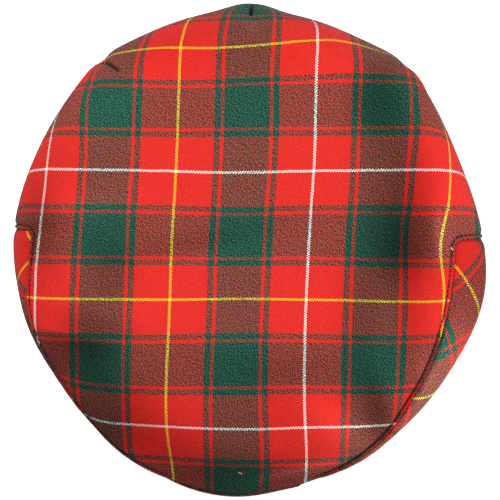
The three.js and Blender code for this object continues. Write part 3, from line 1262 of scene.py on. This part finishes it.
@dataclass
class ClothPanel:
    """A sewn cloth panel of the crown: a sheet that follows the cap's form, with sewn edges.

    The sizes are in millimetres. The steps and reaches of the mesh's columns are in degrees, and those
    of its rows in stages. The front, the nose and the tip are turns between which something begins.
    """

    form: CapForm
    node: str
    wall: float = 1.8
    column_step: float = 1.15
    dart_step: float = 0.2
    dart_reach: float = 2.4
    lean_shares: Range = (0.3, 0.6)
    lean_reach: float = 1.6
    end_step: float = 0.16
    end_reach: float = 2.2
    row_step: float = 0.06
    seam_row_step: float = 0.012
    seam_row_reach: float = 0.12
    fold_row_step: float = 0.035
    fold_row_reach: float = 0.15
    hem_rows: int = 5
    weld: float = 0.004
    sliver: float = 0.0001
    sharp_angle: float = 70.0
    # The stage by which the dents' painted shade has faded out.
    painted_shade_end: float = 1.8
    front: Range = (95.0, 125.0)
    nose: Range = (150.0, 162.0)
    tip: Range = (159.0, 165.0)
    spread: Array = field(init=False)
    area: float = field(init=False)

    def columns(self, low: float, high: float) -> Array:
        """Return the turns of the mesh columns, with one at every dart and seam end.

        Args:
            low: The first turn.
            high: The last turn.

        Returns:
            The turns in order, closer together at the darts and the seams.
        """
        form = self.form
        darts = [dart.turn for dart in form.darts]
        leaning = [dart.turn + dart.lean * share for dart in form.darts for share in self.lean_shares]
        seams = (form.panel_back_left, -form.panel_back_right, form.panel_tip, -form.panel_tip)
        ends = [seam + lap for seam in seams for lap in (0, -360, 360)]
        fine = [(turn, self.dart_step, self.dart_reach) for turn in darts]
        fine += [(turn, self.dart_step, self.lean_reach) for turn in leaning]
        fine += [(turn, self.end_step, self.end_reach) for turn in ends]
        keys = sorted({low, high} | {place for place in darts + ends if low < place < high})
        runs = [graded(a, b, self.column_step, fine) for a, b in zip(keys, keys[1:])]
        return np.concatenate([run[:-1] for run in runs] + [[keys[-1]]])

    def lower_rows(self) -> Array:
        """Return the stages of the rows from the seam to the end of the hem.

        Returns:
            The stages in order, closer together at the seam and where the hem folds.
        """
        fine = [
            (SEAM, self.seam_row_step, self.seam_row_reach),
            (BOTTOM, self.fold_row_step, self.fold_row_reach),
        ]
        hem = np.linspace(BOTTOM, HEM_END, self.hem_rows + 1)[1:]
        return np.concatenate((graded(SEAM, BOTTOM, self.row_step, fine), hem))

    def sink(self, turn: Array, stage: Array) -> Array:
        """Return how far the cloth lies below the plain form near its seams, in millimetres."""
        raise NotImplementedError

    def shadow(self, turn: Array, stage: Array) -> Array:
        """Return the painted shade of the sewn lines, as a depth in millimetres that darkens the colour;
        negative paints light.
        """
        raise NotImplementedError

    def flat(self, turn: Array, stage: Array, point: Array, face_turn: Array) -> Array:
        """Return the place of each point on the flat cloth, in millimetres."""
        raise NotImplementedError

    def lay(
        self,
        bm: bmesh.types.BMesh,
        turns: Array,
        stages: Array,
        squeeze: Callable[[Array, Array], Array] | None = None,
    ) -> None:
        """Add a grid of cloth to the mesh and shape it to the form.

        Args:
            bm: The mesh to add to.
            turns: The turn of each column.
            stages: The stage of each row.
            squeeze: Gives another stage for a turn and a stage, where an edge is rounded.
        """
        marks = bm.verts.layers.float.get("stage") or bm.verts.layers.float.new("stage")
        made = bmesh.ops.create_grid(bm, x_segments=len(turns) - 1, y_segments=len(stages) - 1, size=1.0)
        places = np.array([vert.co[:2] for vert in made["verts"]])
        across = np.rint((places[:, 0] + 1) / 2 * (len(turns) - 1)).astype(int)
        row = np.rint((places[:, 1] + 1) / 2 * (len(stages) - 1)).astype(int)
        turn, stage = turns[across], stages[row]
        if squeeze is not None:
            stage = squeeze(turn, stage)
        inward = self.form.normal(turn, stage) * self.sink(turn, stage)[:, None]
        points = (self.form.point(turn, stage) - inward) * MM
        for vert, point, mark in zip(made["verts"], points, stage):
            vert.co = point
            vert[marks] = mark

    def finish(self, bm: bmesh.types.BMesh, cloth: bpy.types.Material) -> bpy.types.Object:
        """Args:
            bm: The laid cloth.
            cloth: Its material.

        Returns:
            The finished piece.
        """
        bmesh.ops.remove_doubles(bm, verts=bm.verts, dist=self.weld * MM)
        bmesh.ops.dissolve_degenerate(bm, edges=bm.edges, dist=self.sliver * MM)
        bmesh.ops.recalc_face_normals(bm, faces=bm.faces)
        piece = new_piece(bm, f"{self.node}_cloth", cloth)
        sheet = piece.data
        highest = max(sheet.polygons, key=lambda polygon: polygon.center.z)
        if highest.normal.z < 0:
            sheet.flip_normals()
        self.mark_cloth(sheet)
        self.area = sum(polygon.area for polygon in sheet.polygons)
        solid = piece.modifiers.new("wall", "SOLIDIFY")
        solid.thickness = self.wall * MM
        solid.offset = -1.0
        made = piece.evaluated_get(bpy.context.evaluated_depsgraph_get())
        walled = bpy.data.meshes.new_from_object(made)
        piece.modifiers.clear()
        piece.data = walled
        walled.name = piece.name
        walled.set_sharp_from_angle(angle=math.radians(self.sharp_angle))
        walled.materials.clear()
        walled.materials.append(cloth)
        self.declare(piece)
        return piece

    def mark_cloth(self, mesh: bpy.types.Mesh) -> None:
        """Write the flat cloth coordinates, in metres, to the sheet's UV map, and a depth of painted shade to
        an attribute.

        Args:
            mesh: The sheet, whose own stages are removed.
        """
        points = read_all(mesh.vertices, "co", 3) / MM
        stage = read_all(mesh.attributes["stage"].data, "value")
        corner = read_all(mesh.loops, "vertex_index", kind=int)
        sizes = read_all(mesh.polygons, "loop_total", kind=int)
        owner = np.repeat(np.arange(len(sizes)), sizes)
        middle = np.zeros((len(sizes), 3))
        np.add.at(middle, owner, points[corner])
        turn = np.degrees(np.arctan2(points[:, 0], points[:, 1]))
        face_turn = np.degrees(np.arctan2(middle[:, 0], middle[:, 1]))
        placed = self.flat(turn[corner], stage[corner], points[corner], face_turn[owner])
        self.spread = placed.max(axis=0) - placed.min(axis=0)
        layer = mesh.uv_layers.new(name="cloth")
        layer.data.foreach_set("uv", (placed * MM).astype(np.float32).ravel())
        # Painted shade: the depth of the dents and creases, with the painted shade and light of the seams,
        # darts and edges, darkens the cloth's colour through this attribute.
        hollow = self.form.hollow(points[:, 0], points[:, 1]) * fade(stage, SEAM, self.painted_shade_end)
        hollow = hollow + self.shadow(turn, stage)
        depth = mesh.attributes.new("hollow", "FLOAT", "POINT")
        depth.data.foreach_set("value", hollow.astype(np.float32))
        mesh.attributes.remove(mesh.attributes["stage"])

    def declare(self, piece: bpy.types.Object) -> None:
        """Attach the piece to the frame's root and hide the frame part that it stands for.

        Args:
            piece: The finished piece.
        """
        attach(piece, "root")
        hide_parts(self.node)


CROWN_LAY = Lay(start=(2.0, 25.5), slant_u=(1.0, -2.5), slant_v=(-4.0, 6.0))

PULLS = (
    Pull(-110, 40, 35, -4.5, 0),
    Pull(-80, 30, 20, 1, 0),
    Pull(105, 10, 20, 4.5, 0),
    Pull(105, 75, 20, -3, 0),
    Pull(30, -120, 35, -4.5, 0),
    Pull(-50, -75, 35, 1.5, 2.2),
    Pull(25, 60, 35, -1.5, 0),
    Pull(25, 0, 35, 0.5, 0),
    Pull(65, 0, 35, 1, 0),
    Pull(70, -75, 35, -1.5, 2),
    Pull(-70, 110, 35, 0, 3),
    Pull(-15, 115, 35, 0.5, 4.5),
    Pull(2, 127, 8, 0, 2),
    Pull(50, 125, 20, 0, -4.5),
    Pull(0, 90, 35, 0, -3.5),
    Pull(-55, 90, 35, 0, -1),
    Pull(55, 90, 35, 0, -1),
    Pull(-10, 25, 35, 0, 1),
    Pull(95, 0, 35, 0, 2),
    Pull(0, -70, 35, 0, 1.5),
    Pull(-15, -105, 35, 0, 2.5),
    Pull(20, -105, 35, 0, 2.5),
    Pull(-102, -74, 12, 0, -3.5),
    Pull(-88, -92, 10, 0, -2.5),
    Pull(-42, -126, 18, -3.2, 0),
)


@dataclass
class CrownTop(ClothPanel):
    """The one-piece top, its darted back and the narrow lip over the peak."""

    node: str = "crown_top"
    lay_drift: Lay = CROWN_LAY
    pulls: tuple[Pull, ...] = PULLS
    half_sett: float = 75.26
    top_row_step: float = 0.024
    top_edge_step: float = 0.0075
    top_edge_reach: float = 0.09
    edge_drop: float = 0.9
    edge_wide: float = 1.1
    stitch_wide: float = 0.9
    pucker: Pucker = Pucker(deep=0.22, climb=40.0, waves=(1.9, 3.1), shift=1.0, away=6.0, reach=5.0)
    # Painted shade of the darts' lines, of the stitched groove, strongest towards the front, and of the front
    # lip, in millimetres of the hollow attribute.
    dart_painted_shade: float = 5.0
    stitch_painted_shade: float = 1.5
    stitch_front_painted_shade: float = 6.0
    stitch_tone_wide: float = 1.1
    stitch_tone_ends: Range = (150.0, 165.0)
    lip_painted_shade: float = 6.0
    lip_stages: Range = (0.976, 0.99)
    gore_middles: tuple[float, ...] = (-62.5, -19.5, 19.0, 61.0)
    gore_stages: Range = (1.25, 2.2)
    gore_turn: float = 120.0
    turn_slack: float = 1e-6

    def build(self, cloth: bpy.types.Material) -> bpy.types.Object:
        """Build the crown top.

        Args:
            cloth: Its material.

        Returns:
            The finished piece.
        """
        form = self.form
        bm = bmesh.new()
        edge = [(SEAM, self.top_edge_step, self.top_edge_reach)]
        low_rows = self.lower_rows()
        self.lay(bm, self.columns(-180, 180), graded(0, SEAM, self.top_row_step, edge))
        self.lay(bm, self.columns(-form.panel_back_right, form.panel_back_left), low_rows)
        self.lay(bm, self.columns(form.panel_tip, 360 - form.panel_tip), low_rows)
        for side in Side:
            self.round_corner(bm, side, low_rows)
        return self.finish(bm, cloth)

    def round_corner(self, bm: bmesh.types.BMesh, side: Side, rows: Array) -> None:
        """Fill the rounded corner between the top and the back, above a side panel's end.

        Args:
            bm: The mesh to add to.
            side: The panel's side.
            rows: The stages of the rows below the seam.
        """
        form = self.form
        back, radius = form.panel_start(side)
        wide = math.degrees(form.panel_corner / radius)
        deep = float(form.stage_at(np.array([side.value * back]), np.array([form.panel_corner]))[0])
        every = self.columns(-180, 180)
        beside = (np.abs(every) >= back - self.turn_slack) & (np.abs(every) <= back + wide)
        turns = every[beside & (every * side.value > 0)]

        def edge(turn: Array, stage: Array) -> Array:
            """Return stages squeezed between the seam and the rounded edge.

            Args:
                turn: Degrees round the cap.
                stage: Place along the section.

            Returns:
                Stages along the sections.
            """
            share = np.clip((np.abs(turn) - back) / (np.abs(turns).max() - back), 0, 1)
            depth = 1 - np.sqrt(np.maximum(0, 1 - (1 - share) ** 2))
            return SEAM + (stage - SEAM) * depth

        self.lay(bm, turns, rows[rows <= deep], edge)

    def sink(self, turn: Array, stage: Array) -> Array:
        """Return the rounded edge beside the panels and the groove that the stitching draws in.

        Args:
            turn: Degrees round the cap.
            stage: Place along the section.

        Returns:
            Millimetres below the plain form.
        """
        away = np.maximum(self.form.seam_distance(turn, stage), 0)
        rim = 1 - np.sqrt(1 - np.clip(1 - away / self.edge_wide, 0, 1) ** 2)
        groove = bell(away - self.form.stitch_inset, self.stitch_wide) * fade(np.abs(wrap(turn)), *self.tip)
        drawn = self.edge_drop * rim + self.form.stitch_groove * groove
        return drawn + self.pucker.depth(turn, stage, away)

    def shadow(self, turn: Array, stage: Array) -> Array:
        """Return the painted shade of the darts, the stitched groove and the front edge, as a depth that
        darkens them.

        Args:
            turn: Degrees round the cap.
            stage: Place along the section.

        Returns:
            Millimetres of painted shade.
        """
        away = np.maximum(self.form.seam_distance(turn, stage), 0)
        at = wrap(turn)
        # Painted shade along the darts' lines and the stitched groove.
        lines = sum(dart.line(turn, stage) for dart in self.form.darts)
        tone = self.stitch_painted_shade + self.stitch_front_painted_shade * ramp(at, *self.front)
        groove = bell(away - self.form.stitch_inset, self.stitch_tone_wide) * tone
        # Painted shade on the front lip.
        lip = ramp(np.abs(at), *self.nose) * ramp(stage, *self.lip_stages)
        sewn = groove * fade(np.abs(at), *self.stitch_tone_ends)
        return self.dart_painted_shade * lines + sewn + self.lip_painted_shade * lip

    def flat(self, turn: Array, stage: Array, point: Array, face_turn: Array) -> Array:
        """Return flat cloth coordinates: straight out from the middle, and gore by gore below the darts.

        Args:
            turn: Degrees round the cap.
            stage: Place along the section.
            point: The place itself.
            face_turn: The turn of the face's middle, which tells the gore.

        Returns:
            Millimetres across the warp and along it.
        """
        form = self.form
        out = form.length(turn, np.zeros_like(stage), stage)
        radius, _ = form.profile(turn, stage)
        place = np.stack(around(out, turn), axis=-1)
        edges = np.array([-180.0] + [dart.turn for dart in form.darts] + [180.0])
        gore = np.clip(np.searchsorted(edges, face_turn) - 1, 0, len(self.gore_middles) - 1)
        middles = np.array(self.gore_middles)[gore]
        away = np.radians(turn - middles)
        lateral, forward = radius * np.sin(away), out - radius * (1 - np.cos(away))
        line = np.radians(middles)
        across = np.stack((np.cos(line), -np.sin(line)), axis=-1)
        ahead = np.stack((np.sin(line), np.cos(line)), axis=-1)
        gored = ahead * forward[:, None] + across * lateral[:, None]
        share = ramp(stage, *self.gore_stages) * (np.abs(turn) < self.gore_turn)
        place = blend(place, gored, share[:, None])
        place = place + self.lay_drift.shift(point)
        for pull in self.pulls:
            near = bell(np.hypot(point[:, 0] - pull.x, point[:, 1] - pull.y), pull.reach)
            place = place + near[:, None] * np.array([pull.shift_u, pull.shift_v])
        return place + np.array([self.half_sett / 2, 0])


@dataclass
class SidePanel(ClothPanel):
    """A side panel, cut on the slant, from the seam beside the top down to the opening and the peak."""

    side: Side = Side.LEFT
    start_u: float = 0.0
    start_v: float = 0.0
    grain: float = -44.0
    follow: float = 0.21
    front_slant: float = 0.0
    front_slant_turns: Range = (112.0, 150.0)
    seam_points: int = 200
    row_step: float = 0.05
    seam_row_step: float = 0.01
    end_gap: float = 0.12
    edge_gap: float = 0.3
    step_down: float = 1.5
    step_reach: Range = (-1.5, 6.0)
    front_tuck: float = 1.6
    front_tuck_turns: Range = (130.0, 148.0)
    tip_tuck: float = 1.5
    pucker: Pucker = Pucker(deep=0.2, climb=30.0, waves=(2.3, 3.7), shift=0.0, away=5.0, reach=4.0)
    # Painted shade beside the seam, most towards the front, at the nose and at the back corner, and painted
    # light on the panel's front part, in millimetres of the hollow attribute.
    seam_painted_shade: float = 2.0
    seam_front_painted_shade: float = 4.0
    seam_tone_wide: float = 1.5
    nose_painted_shade: float = 5.0
    corner_painted_shade: float = 2.0
    corner_turn: float = 86.0
    corner_spread: float = 14.0
    painted_light: float = 3.0
    light_turns: Range = (100.0, 116.0)
    light_away: float = 3.0

    def build(self, cloth: bpy.types.Material) -> bpy.types.Object:
        """Build the side panel.

        Args:
            cloth: Its material.

        Returns:
            The finished piece.
        """
        bm = bmesh.new()
        back, _ = self.form.panel_start(self.side)
        low, high = sorted((self.side.value * back, self.side.value * self.form.panel_tip))
        turns = self.columns(low + self.end_gap, high - self.end_gap)
        self.lay(bm, turns, self.lower_rows(), self.upper_edge)
        return self.finish(bm, cloth)

    def upper_edge(self, turn: Array, stage: Array) -> Array:
        """Return stages that start just under the rounded upper edge.

        Args:
            turn: Degrees round the cap.
            stage: Place along the section.

        Returns:
            Stages squeezed between that edge and the end of the hem.
        """
        form = self.form
        at = np.abs(wrap(turn))
        radius, _ = form.profile(turn, np.ones_like(stage))
        inside = (at - form.panel_back(turn)) * np.radians(1.0) * radius
        rest = 1 - np.clip(inside / form.panel_corner, 0, 1)
        start = form.stage_at(turn, self.edge_gap + form.panel_corner * (1 - np.sqrt(1 - rest**2)))
        return start + (stage - SEAM) / (HEM_END - SEAM) * (HEM_END - start)

    def sink(self, turn: Array, stage: Array) -> Array:
        """Return the step down to the panel, which lies under the edge of the top and is tucked in in front.

        Args:
            turn: Degrees round the cap.
            stage: Place along the section.

        Returns:
            Millimetres below the plain form.
        """
        inside = np.maximum(-self.form.seam_distance(turn, stage), 0)
        at = wrap(turn)
        step = self.step_down * fade(inside, *self.step_reach)
        tuck = self.front_tuck * ramp(-at, *self.front_tuck_turns)
        tuck = tuck + self.tip_tuck * ramp(np.abs(at), *self.tip)
        return step + tuck * fade(stage, WIDEST, BOTTOM) + self.pucker.depth(turn, stage, inside)

    def shadow(self, turn: Array, stage: Array) -> Array:
        """Return the painted shade beside the seam, most of all towards the front, at the nose and the back
        corner, less the painted light on the panel's front part.

        Args:
            turn: Degrees round the cap.
            stage: Place along the section.

        Returns:
            Millimetres of painted shade, negative where light is painted.
        """
        inside = np.maximum(-self.form.seam_distance(turn, stage), 0)
        at = wrap(turn)
        # Painted shade beside the seam, stronger towards the front, and at the nose.
        tone = self.seam_painted_shade + self.seam_front_painted_shade * ramp(at, *self.front)
        beside = bell(inside, self.seam_tone_wide) * tone + self.nose_painted_shade * ramp(np.abs(at), *self.nose)
        # Painted shade at the panel's back corner.
        corner = self.corner_painted_shade * bell(at - self.corner_turn, self.corner_spread)
        # Painted light on the panel's front part, away from the seam.
        light = self.painted_light * ramp(at, *self.light_turns) * (1 - bell(inside, self.light_away))
        return beside + corner - light

    def flat(self, turn: Array, stage: Array, point: Array, face_turn: Array) -> Array:
        """Return flat cloth coordinates: along the seam and down from it, turned to the slant.

        Args:
            turn: Degrees round the cap.
            stage: Place along the section.
            point: The place itself, which isn't needed here.
            face_turn: The turn of the face's middle, which isn't needed here.

        Returns:
            Millimetres across the warp and along it.
        """
        form = self.form
        at = np.abs(turn)
        back, _ = form.panel_start(self.side)
        steps = np.linspace(back, form.panel_tip, self.seam_points)
        seam = form.point(steps * self.side.value, np.ones_like(steps))
        run = np.concatenate(([0.0], np.linalg.norm(np.diff(seam, axis=0), axis=1)))
        slant = self.grain - self.follow * (steps - steps[0])
        heading = np.radians(slant + self.front_slant * ramp(steps, *self.front_slant_turns))
        path = np.stack((np.cumsum(run * np.cos(heading)), np.cumsum(run * np.sin(heading))), axis=-1)
        base = np.stack([np.interp(at, steps, path[:, k]) for k in (0, 1)], axis=-1)
        angle = np.interp(at, steps, heading)
        down = form.length(turn, np.ones_like(stage), stage)
        place = base + down[:, None] * np.stack((np.sin(angle), -np.cos(angle)), axis=-1)
        place = place + np.array([self.start_u, self.start_v])
        place[:, 0] *= self.side.value
        return place


@dataclass
class Topstitching:
    """A row of dark stitches along the edge of the top, beside one side panel, in millimetres."""

    form: CapForm
    side: Side
    sunk: float = 0.1
    pitch: float = 2.9
    long: float = 2.75
    thick: float = 1.15
    # Towards the front the stitches are thicker: the dark thread there is partly real stitching and partly
    # stands for the painted shade of the seam's gap.
    front_shade_thick: float = 1.5
    front: Range = (0.45, 0.65)
    first: float = 0.4
    low_end: float = 52.0
    tip_gap: float = 0.5
    down_points: int = 60
    bend_points: int = 24
    ahead_points: int = 400

    def path(self) -> Array:
        """Return the stitch line: up the back of the panel, round its corner and along the top to its tip.

        Returns:
            Points on the cloth, close together.
        """
        form = self.form
        corner, inset = form.panel_corner, form.stitch_inset
        back, radius = form.panel_start(self.side)
        bend = np.radians(np.linspace(180, 270, self.bend_points))
        down = np.linspace(self.low_end, corner, self.down_points)
        begins, ends = back + math.degrees(corner / radius), form.panel_tip - self.tip_gap
        ahead = np.linspace(begins, ends, self.ahead_points)
        turn = np.concatenate(
            (
                np.full_like(down, back - math.degrees(inset / radius)),
                back + np.degrees((corner + (corner + inset) * np.cos(bend)) / radius),
                ahead,
            )
        )
        rounded = corner + (corner + inset) * np.sin(bend)
        below = np.concatenate((down, rounded, np.full_like(ahead, -inset)))
        turn = turn * self.side.value
        stage = form.stage_at(turn, below)
        return form.point(turn, stage) - form.normal(turn, stage) * (form.stitch_groove + self.sunk)

    def build(self, thread: bpy.types.Material) -> bpy.types.Object:
        """Build the row of stitches as one piece.

        Args:
            thread: Its material.

        Returns:
            The finished piece.
        """
        line = self.path()
        run = np.concatenate(([0.0], np.cumsum(np.linalg.norm(np.diff(line, axis=0), axis=1))))
        bm = bmesh.new()
        for start in np.arange(self.first, run[-1] - self.long, self.pitch):
            ends = (start, start + self.long)
            low, high = (Vector([np.interp(end, run, line[:, k]) for k in range(3)]) for end in ends)
            # The stitches thicken towards the front, where they also stand for the seam gap's painted shade.
            forward = ramp(np.array(start / run[-1]), *self.front)
            thick = float(blend(self.thick, self.front_shade_thick, forward))
            add_strand(bm, low, high, self.long / 2, thick)
        piece = new_piece(bm, f"topstitching_{self.side.name.lower()}", thread)
        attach(piece, "root")
        LOG.info("%s: %d faces", piece.name, len(piece.data.polygons))
        return piece


@dataclass
class LooseThread:
    """A short end of thread that lies on the cloth: a few bent lengths, end to end, in millimetres."""

    form: CapForm
    name: str
    turn: float
    stage: float
    heading: float
    bends: tuple[float, ...]
    long: float = 1.1
    thick: float = 0.55
    lift: float = 0.3
    lap: float = 0.62

    def build(self, thread: bpy.types.Material) -> bpy.types.Object:
        """Build the thread as one piece.

        Args:
            thread: Its material.

        Returns:
            The finished piece.
        """
        turn, stage = np.array([self.turn]), np.array([self.stage])
        out = Vector(self.form.normal(turn, stage)[0])
        ahead = out.cross(Vector((1, 0, 0))).normalized()
        ahead = Matrix.Rotation(math.radians(self.heading), 3, out) @ ahead
        low = Vector(self.form.point(turn, stage)[0]) + out * (self.lift * self.thick)
        bm = bmesh.new()
        for bend in self.bends:
            ahead = Matrix.Rotation(math.radians(bend), 3, out) @ ahead
            high = low + ahead * self.long
            add_strand(bm, low, high, self.long * self.lap, self.thick)
            low = high
        piece = new_piece(bm, self.name, thread)
        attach(piece, "root")
        LOG.info("%s: %d faces", piece.name, len(piece.data.polygons))
        return piece


@dataclass
class Peak:
    """The stiff peak: a cloth-covered board, arched from side to side, in millimetres."""

    form: CapForm
    node: str = "peak"
    columns: int = 180
    rows: int = 28
    edge: float = 1.1
    edge_steps: int = 4
    rim_angle: float = 60.0
    start_u: float = 45.3
    start_v: float = 87.0

    def build(self, cloth: bpy.types.Material) -> bpy.types.Object:
        """Build the peak.

        Args:
            cloth: Its material.

        Returns:
            The finished piece.
        """
        bm = bmesh.new()
        self.lay_sheet(bm)
        self.thicken(bm)
        piece = new_piece(bm, f"{self.node}_cloth", cloth)
        mesh = piece.data
        layer = mesh.uv_layers.new(name="cloth")
        for loop in mesh.loops:
            place = mesh.vertices[loop.vertex_index].co
            layer.data[loop.index].uv = (place.x + self.start_u * MM, place.y - place.z + self.start_v * MM)
        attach(piece, "root")
        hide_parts(self.node)
        LOG.info("%s: %d faces", piece.name, len(mesh.polygons))
        return piece

    def lay_sheet(self, bm: bmesh.types.BMesh) -> None:
        """Lay the upper face, from the head opening out to the edge.

        Args:
            bm: The mesh to add to.
        """
        form = self.form
        turns = np.linspace(form.peak_corner, 360 - form.peak_corner, self.columns + 1)
        made = bmesh.ops.create_grid(bm, x_segments=self.columns, y_segments=self.rows, size=1.0)
        places = np.array([vert.co[:2] for vert in made["verts"]])
        turn = turns[np.rint((places[:, 0] + 1) / 2 * self.columns).astype(int)]
        share = (places[:, 1] + 1) / 2
        x, y = around(blend(form.opening_radius(turn), form.peak_radius(turn), share), turn)
        points = np.stack((x, y, form.peak_top(x)), axis=-1) * MM
        for vert, point in zip(made["verts"], points):
            vert.co = point
        bmesh.ops.recalc_face_normals(bm, faces=bm.faces)
        if sum(face.normal.z for face in bm.faces) < 0:
            bmesh.ops.reverse_faces(bm, faces=bm.faces)

    def thicken(self, bm: bmesh.types.BMesh) -> None:
        """Make a board of the sheet and round its edges.

        Args:
            bm: The mesh with the upper face.
        """
        raised = bmesh.ops.extrude_face_region(bm, geom=list(bm.faces), use_keep_orig=True)
        lower = [item for item in raised["geom"] if isinstance(item, bmesh.types.BMVert)]
        bmesh.ops.translate(bm, verts=lower, vec=Vector((0, 0, -self.form.peak_thickness * MM)))
        bmesh.ops.recalc_face_normals(bm, faces=bm.faces)
        steep = math.radians(self.rim_angle)
        rim = [e for e in bm.edges if len(e.link_faces) == 2 and e.calc_face_angle(0) > steep]
        bmesh.ops.bevel(
            bm,
            geom=rim,
            offset=self.edge * MM,
            offset_type="OFFSET",
            segments=self.edge_steps,
            profile=0.5,
            affect="EDGES",
            material=-1,
        )


@dataclass(frozen=True)
class Lamp:
    """A soft square light that faces the cap: watts, metres, and degrees above the floor.

    Its azimuth is in degrees from the wearer's left side, by way of the back.
    """

    name: str
    azimuth: float
    elevation: float
    power: float
    away: float = 2.2
    size: float = 1.0

    def hang(self) -> None:
        """Add the light to the scene."""
        flat, up = math.cos(math.radians(self.elevation)), math.sin(math.radians(self.elevation))
        turn = math.radians(self.azimuth)
        place = Vector((flat * math.cos(turn), flat * math.sin(turn), up)) * self.away
        lamp = bpy.data.lights.new(self.name, "AREA")
        lamp.size = self.size
        lamp.energy = self.power
        hung = bpy.data.objects.new(self.name, lamp)
        hung.location = place
        hung.rotation_euler = (-place).to_track_quat("-Z", "Y").to_euler()
        bpy.context.scene.collection.objects.link(hung)


@dataclass
class Studio:
    """The pale floor, the soft light and the camera.

    The camera's tilts and roll are in degrees, its distance and its target's height in metres, and its
    scale and centre in pixels of the square frame.
    """

    lamps: tuple[Lamp, ...] = (Lamp("key", 122.0, 56.0, 60.0), Lamp("side", 345.0, 22.0, 57.0))
    sky: float = 0.13
    filter_width: float = 1.5
    floor_size: float = 6.0
    frame: float = 500.0
    tilt_x: float = 4.0
    tilt_y: float = 3.5
    roll: float = -2.0
    scale: float = 1.845
    centre: Range = (247.9, 252.5)
    distance: float = 2.6
    target_height: float = 0.040
    sensor: float = 36.0
    far: float = 50.0

    def build(self) -> None:
        """Set the floor, the lights, the world and the camera."""
        self.floor()
        for lamp in self.lamps:
            lamp.hang()
        scene = bpy.context.scene
        world = bpy.data.worlds.new("studio")
        world.use_nodes = True
        backdrop = world.node_tree.nodes["Background"]
        backdrop.inputs["Color"].default_value = (1.0, 1.0, 1.0, 1.0)
        backdrop.inputs["Strength"].default_value = self.sky
        scene.world = world
        scene.view_settings.view_transform = "Standard"
        scene.view_settings.look = "None"
        scene.cycles.filter_width = self.filter_width
        scene.cycles.use_denoising = False
        self.camera()

    def floor(self) -> None:
        """Lay the pale floor."""
        bm = bmesh.new()
        bmesh.ops.create_grid(bm, x_segments=1, y_segments=1, size=self.floor_size)
        floor = new_piece(bm, "floor", FloorFinish().material())
        floor.visible_diffuse = False

    def camera(self) -> None:
        """Set the camera almost straight above the cap, a little to its left and back."""
        back = Vector((math.sin(math.radians(self.tilt_x)), math.sin(math.radians(self.tilt_y)), 0))
        back.z = math.sqrt(1 - back.length_squared)
        up = (Vector((0, 1, 0)) - back * back.y).normalized()
        right = up.cross(back)
        cosine, sine = math.cos(math.radians(self.roll)), math.sin(math.radians(self.roll))
        right, up = right * cosine - up * sine, up * cosine + right * sine
        pixel = MM / self.scale
        view = bpy.data.cameras.new("camera")
        view.sensor_width = self.sensor
        view.lens = self.sensor * self.distance / (self.frame * pixel)
        view.clip_end = self.far
        eye = bpy.data.objects.new("camera", view)
        aim = Vector((0, 0, self.target_height))
        aim += right * ((self.frame / 2 - self.centre[0]) * pixel)
        aim += up * ((self.centre[1] - self.frame / 2) * pixel)
        turned = Matrix((right, up, back)).transposed().to_4x4()
        eye.matrix_world = Matrix.Translation(aim + back * self.distance) @ turned
        bpy.context.scene.collection.objects.link(eye)
        bpy.context.scene.camera = eye


def main() -> None:
    """Build the cap piece by piece."""
    logging.basicConfig(level=logging.INFO, format="%(name)s: %(message)s")
    Studio().build()
    form = CapForm()
    cloth = TartanTwill().material()
    dark = ThreadFinish("dark_thread", (0.012, 0.008, 0.007)).material()
    pink = ThreadFinish("pink_thread", (0.70, 0.15, 0.16)).material()
    pale = ThreadFinish("pale_thread", (0.80, 0.74, 0.62)).material()
    CrownTop(form).build(cloth)
    left = SidePanel(form, "side_panel_left", side=Side.LEFT, start_u=-9.3, start_v=72.3, front_slant=-20.0)
    left.build(cloth)
    SidePanel(form, "side_panel_right", side=Side.RIGHT, start_u=-11.9, start_v=3.8).build(cloth)
    Peak(form).build(cloth)
    for side in Side:
        Topstitching(form, side).build(dark)
    tack = LooseThread(
        form, "tack_stitch", turn=179.9, stage=0.765, heading=60.0, bends=(0.0, 12.0), thick=0.9
    )
    tack.build(pink)
    end = LooseThread(
        form, "thread_end", turn=86.4, stage=0.955, heading=20.0, bends=(0.0, 50.0, -80.0), long=0.8
    )
    end.build(pale)


if __name__ == "__main__":
    main()
